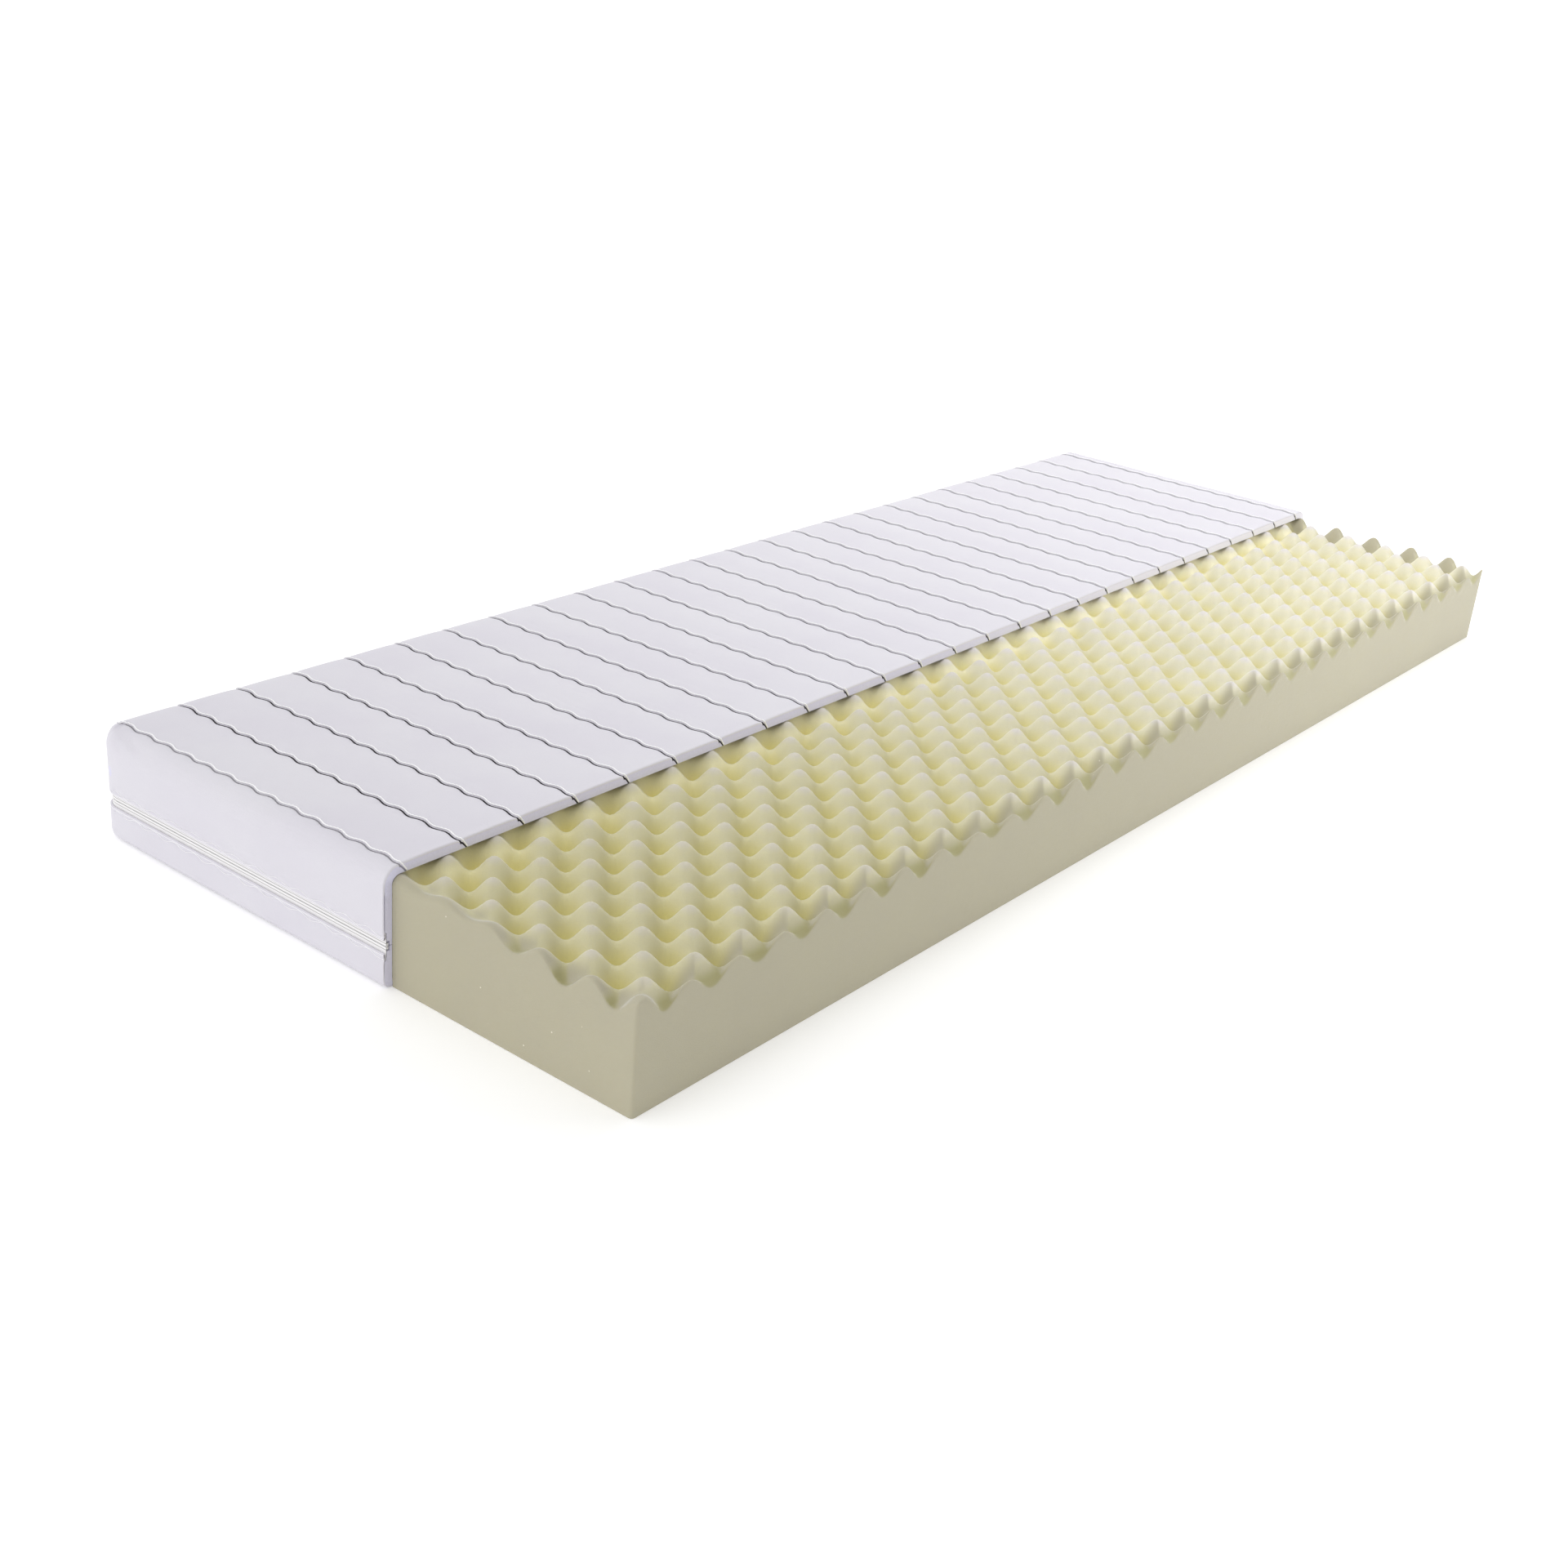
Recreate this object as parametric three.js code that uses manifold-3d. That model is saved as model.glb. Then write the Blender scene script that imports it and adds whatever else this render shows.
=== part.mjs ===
// Foam mattress with a quilted zip-off cover, shown as a cutaway: a lengthwise cut takes the
// cover off the right-hand part of the convoluted ("egg crate") foam core.
//
// Millimetres. The origin is the centre of the base, +Y runs from the foot end to the head end,
// +X points to the bare side of the core and +Z is up.
//
// "Depth" is the distance inwards from the outer envelope of the closed cover. Every layer of the
// cover is a shell between two depths, and neighbouring layers keep CLEARANCE between them.

import * as THREE from "three";
import { mergeVertices } from "three/addons/utils/BufferGeometryUtils.js";
import Module from "manifold-3d";

const wasm = await Module();
wasm.setup();

// ---------------------------------------------------------------- driving dimensions

const LENGTH = 2000; // over the cover
const NOMINAL_WIDTH = 800; // over a whole cover
const COVER_THICKNESS = 12; // all layers, in the skirts and over the core
const CLEARANCE = 0.3;
const CORE_HEIGHT = 120; // from the base to the peaks of the foam
const CUT_WIDTH = 470; // how much of the width the cutaway leaves covered

const CORNER_RADIUS = 30; // vertical corners of the cover, seen from above
const TOP_RADIUS = 22; // top edge of the cover
const BOTTOM_RADIUS = 10; // bottom edge of the cover
const SMALLEST_RADIUS = 2;

// Layers of the cover, as depths in the skirts and the top panel.
const THREAD = { outer: 0, inner: 0.5 };
const FACE = { outer: 0.8, inner: 1.6, base: 0 };
const WADDING = { outer: 1.9, inner: 11, base: 1.1 };
const BACKING = { outer: 11.3, inner: 12, base: 5.3 };
// Below the core the weight flattens the wadding, so these layers have their own inner heights.
const BASE_INNER = { face: 0.8, wadding: 5, backing: 6 };

// Convoluted top of the core: peaks and pits stand in a checkerboard.
const CELL_X = 64.6; // distance between peaks in one row
const CELL_Y = 65.8;
const PEAK_TO_PIT = 33;
const PEAK_FROM_SIDE = 25; // the corner peak, from the bare side
const PEAK_FROM_FOOT = 35; // the corner peak, from the foot end
const SHORTEST_CELL = 8; // grid lines closer than this to an edge are left out

// Quilting lines across the mattress.
const QUILTING_LINES = 26;
const FIRST_LINE = 22; // from the foot end, where its rounded edge meets the flat top
const LAST_LINE = 40; // from the head end
const THREAD_WIDTH = 0.8;
const SKIRT_LINE_FROM_ZIP = 12;
const HEAD_SKIRT_LINE = 87; // height of the one line on the upper head skirt

// Zip, which runs round the three covered sides.
const ZIP_HEIGHT = 47;
const WINDOW = 7; // half of the height between the two hems
const TAPE = { outer: 4.3, inner: 4.9, split: 0.6, reach: 14 };
const COIL = { outer: 5.2, inner: 7.2, reach: 3.2 };
const COIL_CHANNEL = { inner: 8.7, reach: 5.2 };
const ZIP_SEAM = { from: 8.6, to: 9.2 };

// Slider, in its own frame: depth along +X, the zip along Y, height along Z.
const SLIDER_FROM_FOOT = 70;
const SLIDER_LENGTH = 22;
const SLIDER_HALF_HEIGHT = 4.5;
const SLIDER_CORNER = 3;
const OUTER_PLATE = { from: 2.8, to: 4 };
const INNER_PLATE = { from: 7.5, to: 8.3 };
const WEB = { halfHeight: 0.3, length: 16 };
const FLANGE = { from: 5.3, height: 0.9 };
const BRIDGE = { from: 0.2, thickness: 1, halfLength: 4.4, post: 1.2, halfHeight: 1.5 };

// Pull tab, which turns on the pin under the slider's bridge.
const TAB_AXIS_DEPTH = 1.95;
const TAB_THICKNESS = 1;
const TAB_HALF_HEIGHT = 3;
const TAB_ARM = 1.1;
const TAB_EYE_LENGTH = 5.2;
const TAB_LENGTH = 28;

// Facets of the rounded stretches.
const CORNER_STEPS = 6;
const EDGE_STEPS = 4;
const PIN_SIDES = 12;

// ---------------------------------------------------------------- derived places

const WIDTH = NOMINAL_WIDTH - COVER_THICKNESS; // the right skirt is cut away
const LEFT = -WIDTH / 2;
const RIGHT = WIDTH / 2;
const FOOT = -LENGTH / 2;
const HEAD = LENGTH / 2;
const CUT = LEFT + CUT_WIDTH;
const TOP = CORE_HEIGHT + COVER_THICKNESS + CLEARANCE;
const CORE_DEPTH = COVER_THICKNESS + CLEARANCE;
const CORE_RECESS = BASE_INNER.backing + CLEARANCE; // the core steps up over the lower cover
const PAST = 5; // how far a cutting tool runs past what it cuts

// ---------------------------------------------------------------- solids

function solidOf(geometry) {
  const bare = geometry.clone();
  bare.deleteAttribute("normal");
  bare.deleteAttribute("uv");
  const merged = mergeVertices(bare, 1e-4);
  return new wasm.Manifold(
    new wasm.Mesh({
      numProp: 3,
      vertProperties: new Float32Array(merged.attributes.position.array),
      triVerts: new Uint32Array(merged.index.array),
    }),
  );
}

function geometryOf(solid) {
  const mesh = solid.getMesh();
  const geometry = new THREE.BufferGeometry();
  geometry.setAttribute("position", new THREE.BufferAttribute(mesh.vertProperties, 3));
  geometry.setIndex(new THREE.BufferAttribute(mesh.triVerts, 1));
  geometry.computeVertexNormals();
  return geometry;
}

function indexed(points, faces) {
  const geometry = new THREE.BufferGeometry();
  geometry.setAttribute("position", new THREE.Float32BufferAttribute(points.flat(), 3));
  geometry.setIndex(faces.flat());
  return geometry;
}

function boxBetween(low, high) {
  const size = high.map((value, axis) => value - low[axis]);
  const box = new THREE.BoxGeometry(...size);
  return box.translate(...high.map((value, axis) => (value + low[axis]) / 2));
}

// The covered part's outline at a depth, counter-clockwise from above. Its right side is straight.
function outline(depth, rightEdge) {
  const radius = Math.max(CORNER_RADIUS - depth, SMALLEST_RADIUS);
  const centreX = LEFT + depth + radius;
  const footCentre = FOOT + depth + radius;
  const headCentre = HEAD - depth - radius;
  const points = [];
  for (let i = 0; i <= CORNER_STEPS; i++) {
    const angle = Math.PI * (1 + i / (2 * CORNER_STEPS));
    points.push([centreX + radius * Math.cos(angle), footCentre + radius * Math.sin(angle)]);
  }
  points.push([rightEdge, FOOT + depth], [rightEdge, HEAD - depth]);
  for (let i = 0; i <= CORNER_STEPS; i++) {
    const angle = (Math.PI * (1 + i / CORNER_STEPS)) / 2;
    points.push([centreX + radius * Math.cos(angle), headCentre + radius * Math.sin(angle)]);
  }
  return points;
}

// Rings of a block with rounded lower and upper edges, from the bottom up.
function edgeRings(depth, low, high, lowRadius, highRadius) {
  const rings = [];
  const lowSteps = lowRadius > 0 ? EDGE_STEPS : 0;
  const highSteps = highRadius > 0 ? EDGE_STEPS : 0;
  for (let i = 0; i <= lowSteps; i++) {
    const angle = lowSteps ? (Math.PI / 2) * (i / lowSteps) : 0;
    rings.push({
      depth: depth + lowRadius * (1 - Math.sin(angle)),
      z: low + lowRadius * (1 - Math.cos(angle)),
    });
  }
  for (let i = 0; i <= highSteps; i++) {
    const angle = highSteps ? (Math.PI / 2) * (i / highSteps) : 0;
    rings.push({
      depth: depth + highRadius * (1 - Math.cos(angle)),
      z: high - highRadius * (1 - Math.sin(angle)),
    });
  }
  return rings;
}

// A closed block that follows the covered part's outline, with rounded edges.
function coverBlock({ depth, low, high, lowRadius = 0, highRadius = 0, rightEdge = CUT }) {
  const rings = edgeRings(depth, low, high, lowRadius, highRadius);
  const points = [];
  const faces = [];
  for (const ring of rings) {
    for (const [x, y] of outline(ring.depth, rightEdge)) points.push([x, y, ring.z]);
  }
  const count = points.length / rings.length;
  for (let ring = 0; ring + 1 < rings.length; ring++) {
    for (let i = 0; i < count; i++) {
      const a = ring * count + i;
      const b = ring * count + ((i + 1) % count);
      faces.push([a, b, b + count], [a, b + count, a + count]);
    }
  }
  const last = (rings.length - 1) * count;
  for (let i = 1; i + 1 < count; i++) {
    faces.push([0, i + 1, i], [last, last + i, last + i + 1]);
  }
  return solidOf(indexed(points, faces));
}

// A band along the covered part's outline between two depths and two heights.
function band(outer, inner, low, high, rightEdge = CUT) {
  const path = [...openOutline(outer, rightEdge), ...openOutline(inner, rightEdge).reverse()];
  const shape = new THREE.Shape(path.map(([x, y]) => new THREE.Vector2(x, y)));
  const geometry = new THREE.ExtrudeGeometry(shape, { depth: high - low, bevelEnabled: false });
  return geometry.translate(0, 0, low);
}

// The outline from its cut end at the head, round the left side, to its cut end at the foot.
function openOutline(depth, rightEdge) {
  const points = outline(depth, rightEdge);
  const footCorner = points.slice(0, CORNER_STEPS + 1);
  const headCorner = points.slice(CORNER_STEPS + 3);
  return [[rightEdge, HEAD - depth], ...headCorner, ...footCorner, [rightEdge, FOOT + depth]];
}

// ---------------------------------------------------------------- upper half of the cover

function upperBlock(depth, low, rightEdge = CUT) {
  const highRadius = Math.max(TOP_RADIUS - depth, SMALLEST_RADIUS);
  return coverBlock({ depth, low, high: TOP - depth, highRadius, rightEdge });
}

function upperShell(layer, low) {
  const hollow = upperBlock(layer.inner, low - PAST, CUT + PAST);
  return upperBlock(layer.outer, low).subtract(hollow);
}

// Room that the wadding leaves for the zip: the window between the hems, the slot that the tapes
// are sewn into, and the channel of the coils and the slider.
function withoutZipRoom(wadding) {
  const edge = CUT + PAST;
  const slotOuter = TAPE.outer - CLEARANCE;
  const slotInner = TAPE.inner + CLEARANCE;
  const slotReach = TAPE.reach + CLEARANCE;
  const hem = WINDOW + CLEARANCE;
  const rooms = [
    band(-PAST, slotInner, ZIP_HEIGHT - hem, ZIP_HEIGHT + hem, edge),
    band(slotOuter, slotInner, ZIP_HEIGHT - slotReach, ZIP_HEIGHT + slotReach, edge),
    band(
      -PAST,
      COIL_CHANNEL.inner,
      ZIP_HEIGHT - COIL_CHANNEL.reach,
      ZIP_HEIGHT + COIL_CHANNEL.reach,
      edge,
    ),
  ];
  return rooms.reduce((rest, room) => rest.subtract(solidOf(room)), wadding);
}

function upperFaceFabric() {
  return geometryOf(upperShell(FACE, ZIP_HEIGHT + WINDOW));
}

function upperWadding() {
  return geometryOf(withoutZipRoom(upperShell(WADDING, ZIP_HEIGHT + CLEARANCE)));
}

function upperBacking() {
  return geometryOf(upperShell(BACKING, ZIP_HEIGHT + CLEARANCE));
}

// ---------------------------------------------------------------- lower half of the cover

function lowerBlock(depth, base, high, rightEdge = CUT) {
  const lowRadius = Math.max(BOTTOM_RADIUS - depth, SMALLEST_RADIUS);
  return coverBlock({ depth, low: base, high, lowRadius, rightEdge });
}

function lowerShell(layer, innerBase, high) {
  const hollow = lowerBlock(layer.inner, innerBase, high + PAST, CUT + PAST);
  return lowerBlock(layer.outer, layer.base, high).subtract(hollow);
}

function lowerFaceFabric() {
  return geometryOf(lowerShell(FACE, BASE_INNER.face, ZIP_HEIGHT - WINDOW));
}

function lowerWadding() {
  const shell = lowerShell(WADDING, BASE_INNER.wadding, ZIP_HEIGHT - CLEARANCE);
  return geometryOf(withoutZipRoom(shell));
}

function lowerBacking() {
  return geometryOf(lowerShell(BACKING, BASE_INNER.backing, ZIP_HEIGHT - CLEARANCE));
}

// ---------------------------------------------------------------- foam core

function surfaceHeight(x, y) {
  const turnX = (2 * Math.PI * (x - (RIGHT - PEAK_FROM_SIDE))) / CELL_X;
  const turnY = (2 * Math.PI * (y - (FOOT + CORE_DEPTH + PEAK_FROM_FOOT))) / CELL_Y;
  return CORE_HEIGHT - (PEAK_TO_PIT / 2) * (1 - Math.cos(turnX) * Math.cos(turnY));
}

// Grid lines through every peak and pit, with the two edges.
function gridLines(low, high, peak, step) {
  const first = Math.ceil((low + SHORTEST_CELL - peak) / step);
  const last = Math.floor((high - SHORTEST_CELL - peak) / step);
  const lines = [low];
  for (let i = first; i <= last; i++) lines.push(peak + i * step);
  return [...lines, high];
}

function convolutedBlock() {
  const low = FOOT + CORE_DEPTH;
  const xs = gridLines(LEFT + CORE_DEPTH, RIGHT, RIGHT - PEAK_FROM_SIDE, CELL_X / 2);
  const ys = gridLines(low, HEAD - CORE_DEPTH, low + PEAK_FROM_FOOT, CELL_Y / 2);
  const columns = xs.length;
  const points = [];
  const faces = [];
  for (const y of ys) for (const x of xs) points.push([x, y, surfaceHeight(x, y)]);
  for (let j = 0; j + 1 < ys.length; j++) {
    for (let i = 0; i + 1 < columns; i++) {
      const [a, b, c, d] = [0, 1, columns + 1, columns].map((step) => j * columns + i + step);
      // each cell folds along the line between its two higher corners, as the foam's ridges do
      if (points[a][2] + points[c][2] > points[b][2] + points[d][2]) {
        faces.push([a, b, c], [a, c, d]);
      } else {
        faces.push([a, b, d], [b, c, d]);
      }
    }
  }
  // the rim of the surface, counter-clockwise from above, joined to a flat base
  const rim = [];
  for (let i = 0; i + 1 < columns; i++) rim.push(i);
  for (let j = 0; j + 1 < ys.length; j++) rim.push(j * columns + columns - 1);
  for (let i = columns - 1; i > 0; i--) rim.push((ys.length - 1) * columns + i);
  for (let j = ys.length - 1; j > 0; j--) rim.push(j * columns);
  const base = points.length;
  for (const index of rim) points.push([points[index][0], points[index][1], 0]);
  const middle = points.length;
  points.push([0, 0, 0]);
  rim.forEach((top, i) => {
    const next = (i + 1) % rim.length;
    faces.push([base + i, base + next, rim[next]], [base + i, rim[next], top]);
    faces.push([middle, base + next, base + i]);
  });
  return solidOf(indexed(points, faces));
}

// Under the cover the core's edges are rounded by it, and its base steps up over the lower panel.
function foamCore() {
  const covered = coverBlock({
    depth: CORE_DEPTH,
    low: CORE_RECESS,
    high: CORE_HEIGHT,
    lowRadius: SMALLEST_RADIUS,
    highRadius: TOP_RADIUS - CORE_DEPTH,
    rightEdge: CUT + 2 * PAST,
  });
  const around = boxBetween(
    [LEFT - PAST, FOOT - PAST, -PAST],
    [CUT + CLEARANCE, HEAD + PAST, CORE_HEIGHT + PAST],
  );
  return geometryOf(convolutedBlock().subtract(solidOf(around).subtract(covered)));
}

// ---------------------------------------------------------------- threads and zip

const THREAD_LOW = ZIP_HEIGHT + ZIP_SEAM.to + 0.4;
const threadShell = upperShell(THREAD, THREAD_LOW);

// The thread of one quilting line, over the top panel and down the left skirt.
function quiltingThread(line) {
  const pitch = (LENGTH - FIRST_LINE - LAST_LINE) / (QUILTING_LINES - 1);
  const y = FOOT + FIRST_LINE + line * pitch;
  const slice = boxBetween(
    [LEFT - PAST, y - THREAD_WIDTH / 2, THREAD_LOW - PAST],
    [CUT + PAST, y + THREAD_WIDTH / 2, TOP + PAST],
  );
  return geometryOf(threadShell.intersect(solidOf(slice)));
}

// A straight line of stitches along the foot skirt (end -1) or the head skirt (end 1).
function skirtThread(end, height) {
  const faceY = end * (LENGTH / 2);
  const ys = [faceY, faceY - end * THREAD.inner].sort((a, b) => a - b);
  return boxBetween(
    [LEFT + CORNER_RADIUS, ys[0], height - THREAD_WIDTH / 2],
    [CUT, ys[1], height + THREAD_WIDTH / 2],
  );
}

// The seam that closes the dart of the cover's blank at a vertical corner.
function cornerSeam(end, low, high) {
  const radius = THREAD.inner / 2;
  const reach = (CORNER_RADIUS - radius) * Math.SQRT1_2;
  const x = LEFT + CORNER_RADIUS - reach;
  const y = end * (LENGTH / 2 - CORNER_RADIUS + reach);
  const bar = new THREE.CylinderGeometry(radius, radius, high - low, PIN_SIDES);
  return bar.rotateX(Math.PI / 2).translate(x, y, (low + high) / 2);
}

// side is 1 above the zip's centre line and -1 below it
function zipBand(layer, side, from, to) {
  const heights = [ZIP_HEIGHT + side * from, ZIP_HEIGHT + side * to].sort((a, b) => a - b);
  return band(layer.outer, layer.inner, heights[0], heights[1]);
}

// ---------------------------------------------------------------- slider and pull tab

function roundedPlate(length, halfHeight, corner, from, to) {
  const end = length / 2;
  const outlineYZ = new THREE.Shape();
  outlineYZ.moveTo(-end + corner, -halfHeight);
  outlineYZ.lineTo(end - corner, -halfHeight);
  outlineYZ.quadraticCurveTo(end, -halfHeight, end, -halfHeight + corner);
  outlineYZ.lineTo(end, halfHeight - corner);
  outlineYZ.quadraticCurveTo(end, halfHeight, end - corner, halfHeight);
  outlineYZ.lineTo(-end + corner, halfHeight);
  outlineYZ.quadraticCurveTo(-end, halfHeight, -end, halfHeight - corner);
  outlineYZ.lineTo(-end, -halfHeight + corner);
  outlineYZ.quadraticCurveTo(-end, -halfHeight, -end + corner, -halfHeight);
  return standOnEdge(outlineYZ, from, to);
}

// A shape drawn in the plane of the zip, made solid between two depths.
function standOnEdge(shape, from, to) {
  const options = { depth: to - from, bevelEnabled: false, curveSegments: 4 };
  const geometry = new THREE.ExtrudeGeometry(shape, options);
  // shape x becomes Y, shape y becomes Z and the extrusion runs along +X
  const turn = new THREE.Matrix4().makeBasis(
    new THREE.Vector3(0, 1, 0),
    new THREE.Vector3(0, 0, 1),
    new THREE.Vector3(1, 0, 0),
  );
  return geometry.applyMatrix4(turn).translate(from, 0, 0);
}

// Two plates with the coils between them, joined by a web that runs in the slit of the zip, and
// a bridge for the pull tab. Only the lower coil is held by a flange, so the upper coil can lift.
function sliderBody() {
  const half = SLIDER_LENGTH / 2;
  const pieces = [
    roundedPlate(SLIDER_LENGTH, SLIDER_HALF_HEIGHT, SLIDER_CORNER, OUTER_PLATE.from, OUTER_PLATE.to),
    roundedPlate(SLIDER_LENGTH, SLIDER_HALF_HEIGHT, SLIDER_CORNER, INNER_PLATE.from, INNER_PLATE.to),
    boxBetween(
      [OUTER_PLATE.to - CLEARANCE, -WEB.length / 2, -WEB.halfHeight],
      [INNER_PLATE.from + CLEARANCE, WEB.length / 2, WEB.halfHeight],
    ),
    boxBetween(
      [FLANGE.from, SLIDER_CORNER - half, -SLIDER_HALF_HEIGHT],
      [INNER_PLATE.from + CLEARANCE, half - SLIDER_CORNER, FLANGE.height - SLIDER_HALF_HEIGHT],
    ),
    boxBetween(
      [BRIDGE.from, -BRIDGE.halfLength, -BRIDGE.halfHeight],
      [BRIDGE.from + BRIDGE.thickness, BRIDGE.halfLength, BRIDGE.halfHeight],
    ),
  ];
  for (const end of [-1, 1]) {
    const ys = [end * BRIDGE.halfLength, end * (BRIDGE.halfLength - BRIDGE.post)];
    ys.sort((a, b) => a - b);
    pieces.push(
      boxBetween(
        [BRIDGE.from, ys[0], -BRIDGE.halfHeight],
        [OUTER_PLATE.from + CLEARANCE, ys[1], BRIDGE.halfHeight],
      ),
    );
  }
  return geometryOf(pieces.map(solidOf).reduce((all, piece) => all.add(piece)));
}

// A flat tab with an open eye: two arms and the pin that turns under the bridge.
function pullTab() {
  const from = TAB_AXIS_DEPTH - TAB_THICKNESS / 2;
  const to = TAB_AXIS_DEPTH + TAB_THICKNESS / 2;
  const arms = [-1, 1].map((side) => {
    const zs = [side * TAB_HALF_HEIGHT, side * (TAB_HALF_HEIGHT - TAB_ARM)].sort((a, b) => a - b);
    return boxBetween([from, 0, zs[0]], [to, TAB_EYE_LENGTH + 1, zs[1]]);
  });
  const plateLength = TAB_LENGTH - TAB_EYE_LENGTH;
  const plate = roundedPlate(plateLength, TAB_HALF_HEIGHT, TAB_HALF_HEIGHT / 2, from, to);
  plate.translate(0, TAB_EYE_LENGTH + plateLength / 2, 0);
  const radius = TAB_THICKNESS / 2;
  const pin = new THREE.CylinderGeometry(radius, radius, 2 * TAB_HALF_HEIGHT, PIN_SIDES);
  pin.rotateX(Math.PI / 2).translate(TAB_AXIS_DEPTH, 0, 0);
  const solids = [plate, ...arms, pin].map(solidOf);
  return geometryOf(solids.reduce((all, piece) => all.add(piece)));
}

// ---------------------------------------------------------------- assembly

function material(color, roughness, metalness = 0) {
  return new THREE.MeshStandardMaterial({ color, roughness, metalness });
}

const FOAM = material(0xe4dfb6, 0.9);
const FABRIC = material(0xe2dfe9, 0.85);
const FIBRE = material(0xd6d3de, 0.95);
const FLEECE = material(0xe6e4ea, 0.95);
const SEWING_THREAD = material(0xf4f3f7, 0.7);
const TAPE_WEAVE = material(0xe0dedd, 0.8);
const COIL_PLASTIC = material(0xd2d0cf, 0.5);
const WHITE_METAL = material(0xe8e7e6, 0.4, 0.3);

function addMesh(group, name, geometry, finish) {
  const mesh = new THREE.Mesh(geometry, finish);
  mesh.name = name;
  group.add(mesh);
}

function lowerAssembly() {
  const group = new THREE.Group();
  const low = BOTTOM_RADIUS;
  const high = ZIP_HEIGHT - ZIP_SEAM.to - 0.4;
  addMesh(group, "foam_core", foamCore(), FOAM);
  addMesh(group, "lower_cover_face_fabric", lowerFaceFabric(), FABRIC);
  addMesh(group, "lower_cover_wadding", lowerWadding(), FIBRE);
  addMesh(group, "lower_cover_backing", lowerBacking(), FLEECE);
  addMesh(group, "lower_zip_tape", zipBand(TAPE, -1, TAPE.split, TAPE.reach), TAPE_WEAVE);
  addMesh(group, "lower_zip_coil", zipBand(COIL, -1, TAPE.split, COIL.reach), COIL_PLASTIC);
  addMesh(
    group,
    "lower_zip_seam_thread",
    zipBand(THREAD, -1, ZIP_SEAM.from, ZIP_SEAM.to),
    SEWING_THREAD,
  );
  const skirtLine = ZIP_HEIGHT - SKIRT_LINE_FROM_ZIP;
  addMesh(group, "lower_foot_skirt_thread", skirtThread(-1, skirtLine), SEWING_THREAD);
  addMesh(group, "lower_foot_corner_seam", cornerSeam(-1, low, high), SEWING_THREAD);
  addMesh(group, "lower_head_corner_seam", cornerSeam(1, low, high), SEWING_THREAD);
  return group;
}

function upperCover() {
  const group = new THREE.Group();
  const high = TOP - TOP_RADIUS;
  addMesh(group, "upper_cover_face_fabric", upperFaceFabric(), FABRIC);
  addMesh(group, "upper_cover_wadding", upperWadding(), FIBRE);
  addMesh(group, "upper_cover_backing", upperBacking(), FLEECE);
  addMesh(group, "upper_zip_tape", zipBand(TAPE, 1, TAPE.split, TAPE.reach), TAPE_WEAVE);
  addMesh(group, "upper_zip_coil", zipBand(COIL, 1, TAPE.split, COIL.reach), COIL_PLASTIC);
  addMesh(
    group,
    "upper_zip_seam_thread",
    zipBand(THREAD, 1, ZIP_SEAM.from, ZIP_SEAM.to),
    SEWING_THREAD,
  );
  const skirtLine = ZIP_HEIGHT + SKIRT_LINE_FROM_ZIP;
  addMesh(group, "upper_foot_skirt_thread", skirtThread(-1, skirtLine), SEWING_THREAD);
  addMesh(group, "upper_head_skirt_thread", skirtThread(1, HEAD_SKIRT_LINE), SEWING_THREAD);
  addMesh(group, "upper_foot_corner_seam", cornerSeam(-1, THREAD_LOW, high), SEWING_THREAD);
  addMesh(group, "upper_head_corner_seam", cornerSeam(1, THREAD_LOW, high), SEWING_THREAD);
  for (let line = 0; line < QUILTING_LINES; line++) {
    const name = "quilting_thread_" + String(line + 1).padStart(2, "0");
    addMesh(group, name, quiltingThread(line), SEWING_THREAD);
  }
  return group;
}

function zipSlider() {
  const group = new THREE.Group();
  addMesh(group, "zip_slider_body", sliderBody(), WHITE_METAL);
  addMesh(group, "zip_pull_tab", pullTab(), WHITE_METAL);
  group.position.set(LEFT, FOOT + SLIDER_FROM_FOOT, ZIP_HEIGHT);
  return group;
}

const mattress = new THREE.Group();
mattress.add(lowerAssembly(), upperCover(), zipSlider());

export default mattress;
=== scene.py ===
import math

import bmesh
import bpy
import numpy as np
from mathutils import Matrix, Vector
from mathutils.bvhtree import BVHTree
from mathutils.interpolate import poly_3d_calc


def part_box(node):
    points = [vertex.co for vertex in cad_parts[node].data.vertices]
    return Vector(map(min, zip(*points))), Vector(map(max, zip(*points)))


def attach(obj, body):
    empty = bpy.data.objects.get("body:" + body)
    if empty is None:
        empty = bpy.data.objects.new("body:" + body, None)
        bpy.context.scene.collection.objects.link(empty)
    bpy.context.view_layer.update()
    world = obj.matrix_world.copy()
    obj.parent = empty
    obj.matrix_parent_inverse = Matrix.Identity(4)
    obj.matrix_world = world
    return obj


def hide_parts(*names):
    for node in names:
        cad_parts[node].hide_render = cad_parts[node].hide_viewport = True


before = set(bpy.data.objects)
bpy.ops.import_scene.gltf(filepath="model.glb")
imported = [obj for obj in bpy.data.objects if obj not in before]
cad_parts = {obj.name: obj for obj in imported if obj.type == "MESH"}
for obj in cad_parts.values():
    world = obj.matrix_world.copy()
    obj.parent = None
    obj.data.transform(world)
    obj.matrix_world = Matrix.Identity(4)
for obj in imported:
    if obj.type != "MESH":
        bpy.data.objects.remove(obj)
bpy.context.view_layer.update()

# A foam mattress with a quilted zip-off cover, cut away lengthwise to show its convoluted core.
# Shapes are worked out in millimetres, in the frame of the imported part, and made in metres.
#
# Each half of the cover is a panel with skirts round three sides. Its layers share one net of
# points. A point of the net is an inner point of the panel (x, y), a direction outwards (ux, uy)
# and t, the distance from the inner point along the fabric: over the rounded edge, down the skirt
# and round the hem. s is the distance from the cut, measured along the quilting lines.

MM = 0.001


def box(node):
    low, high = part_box(node)
    return np.array(low) / MM, np.array(high) / MM


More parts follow.
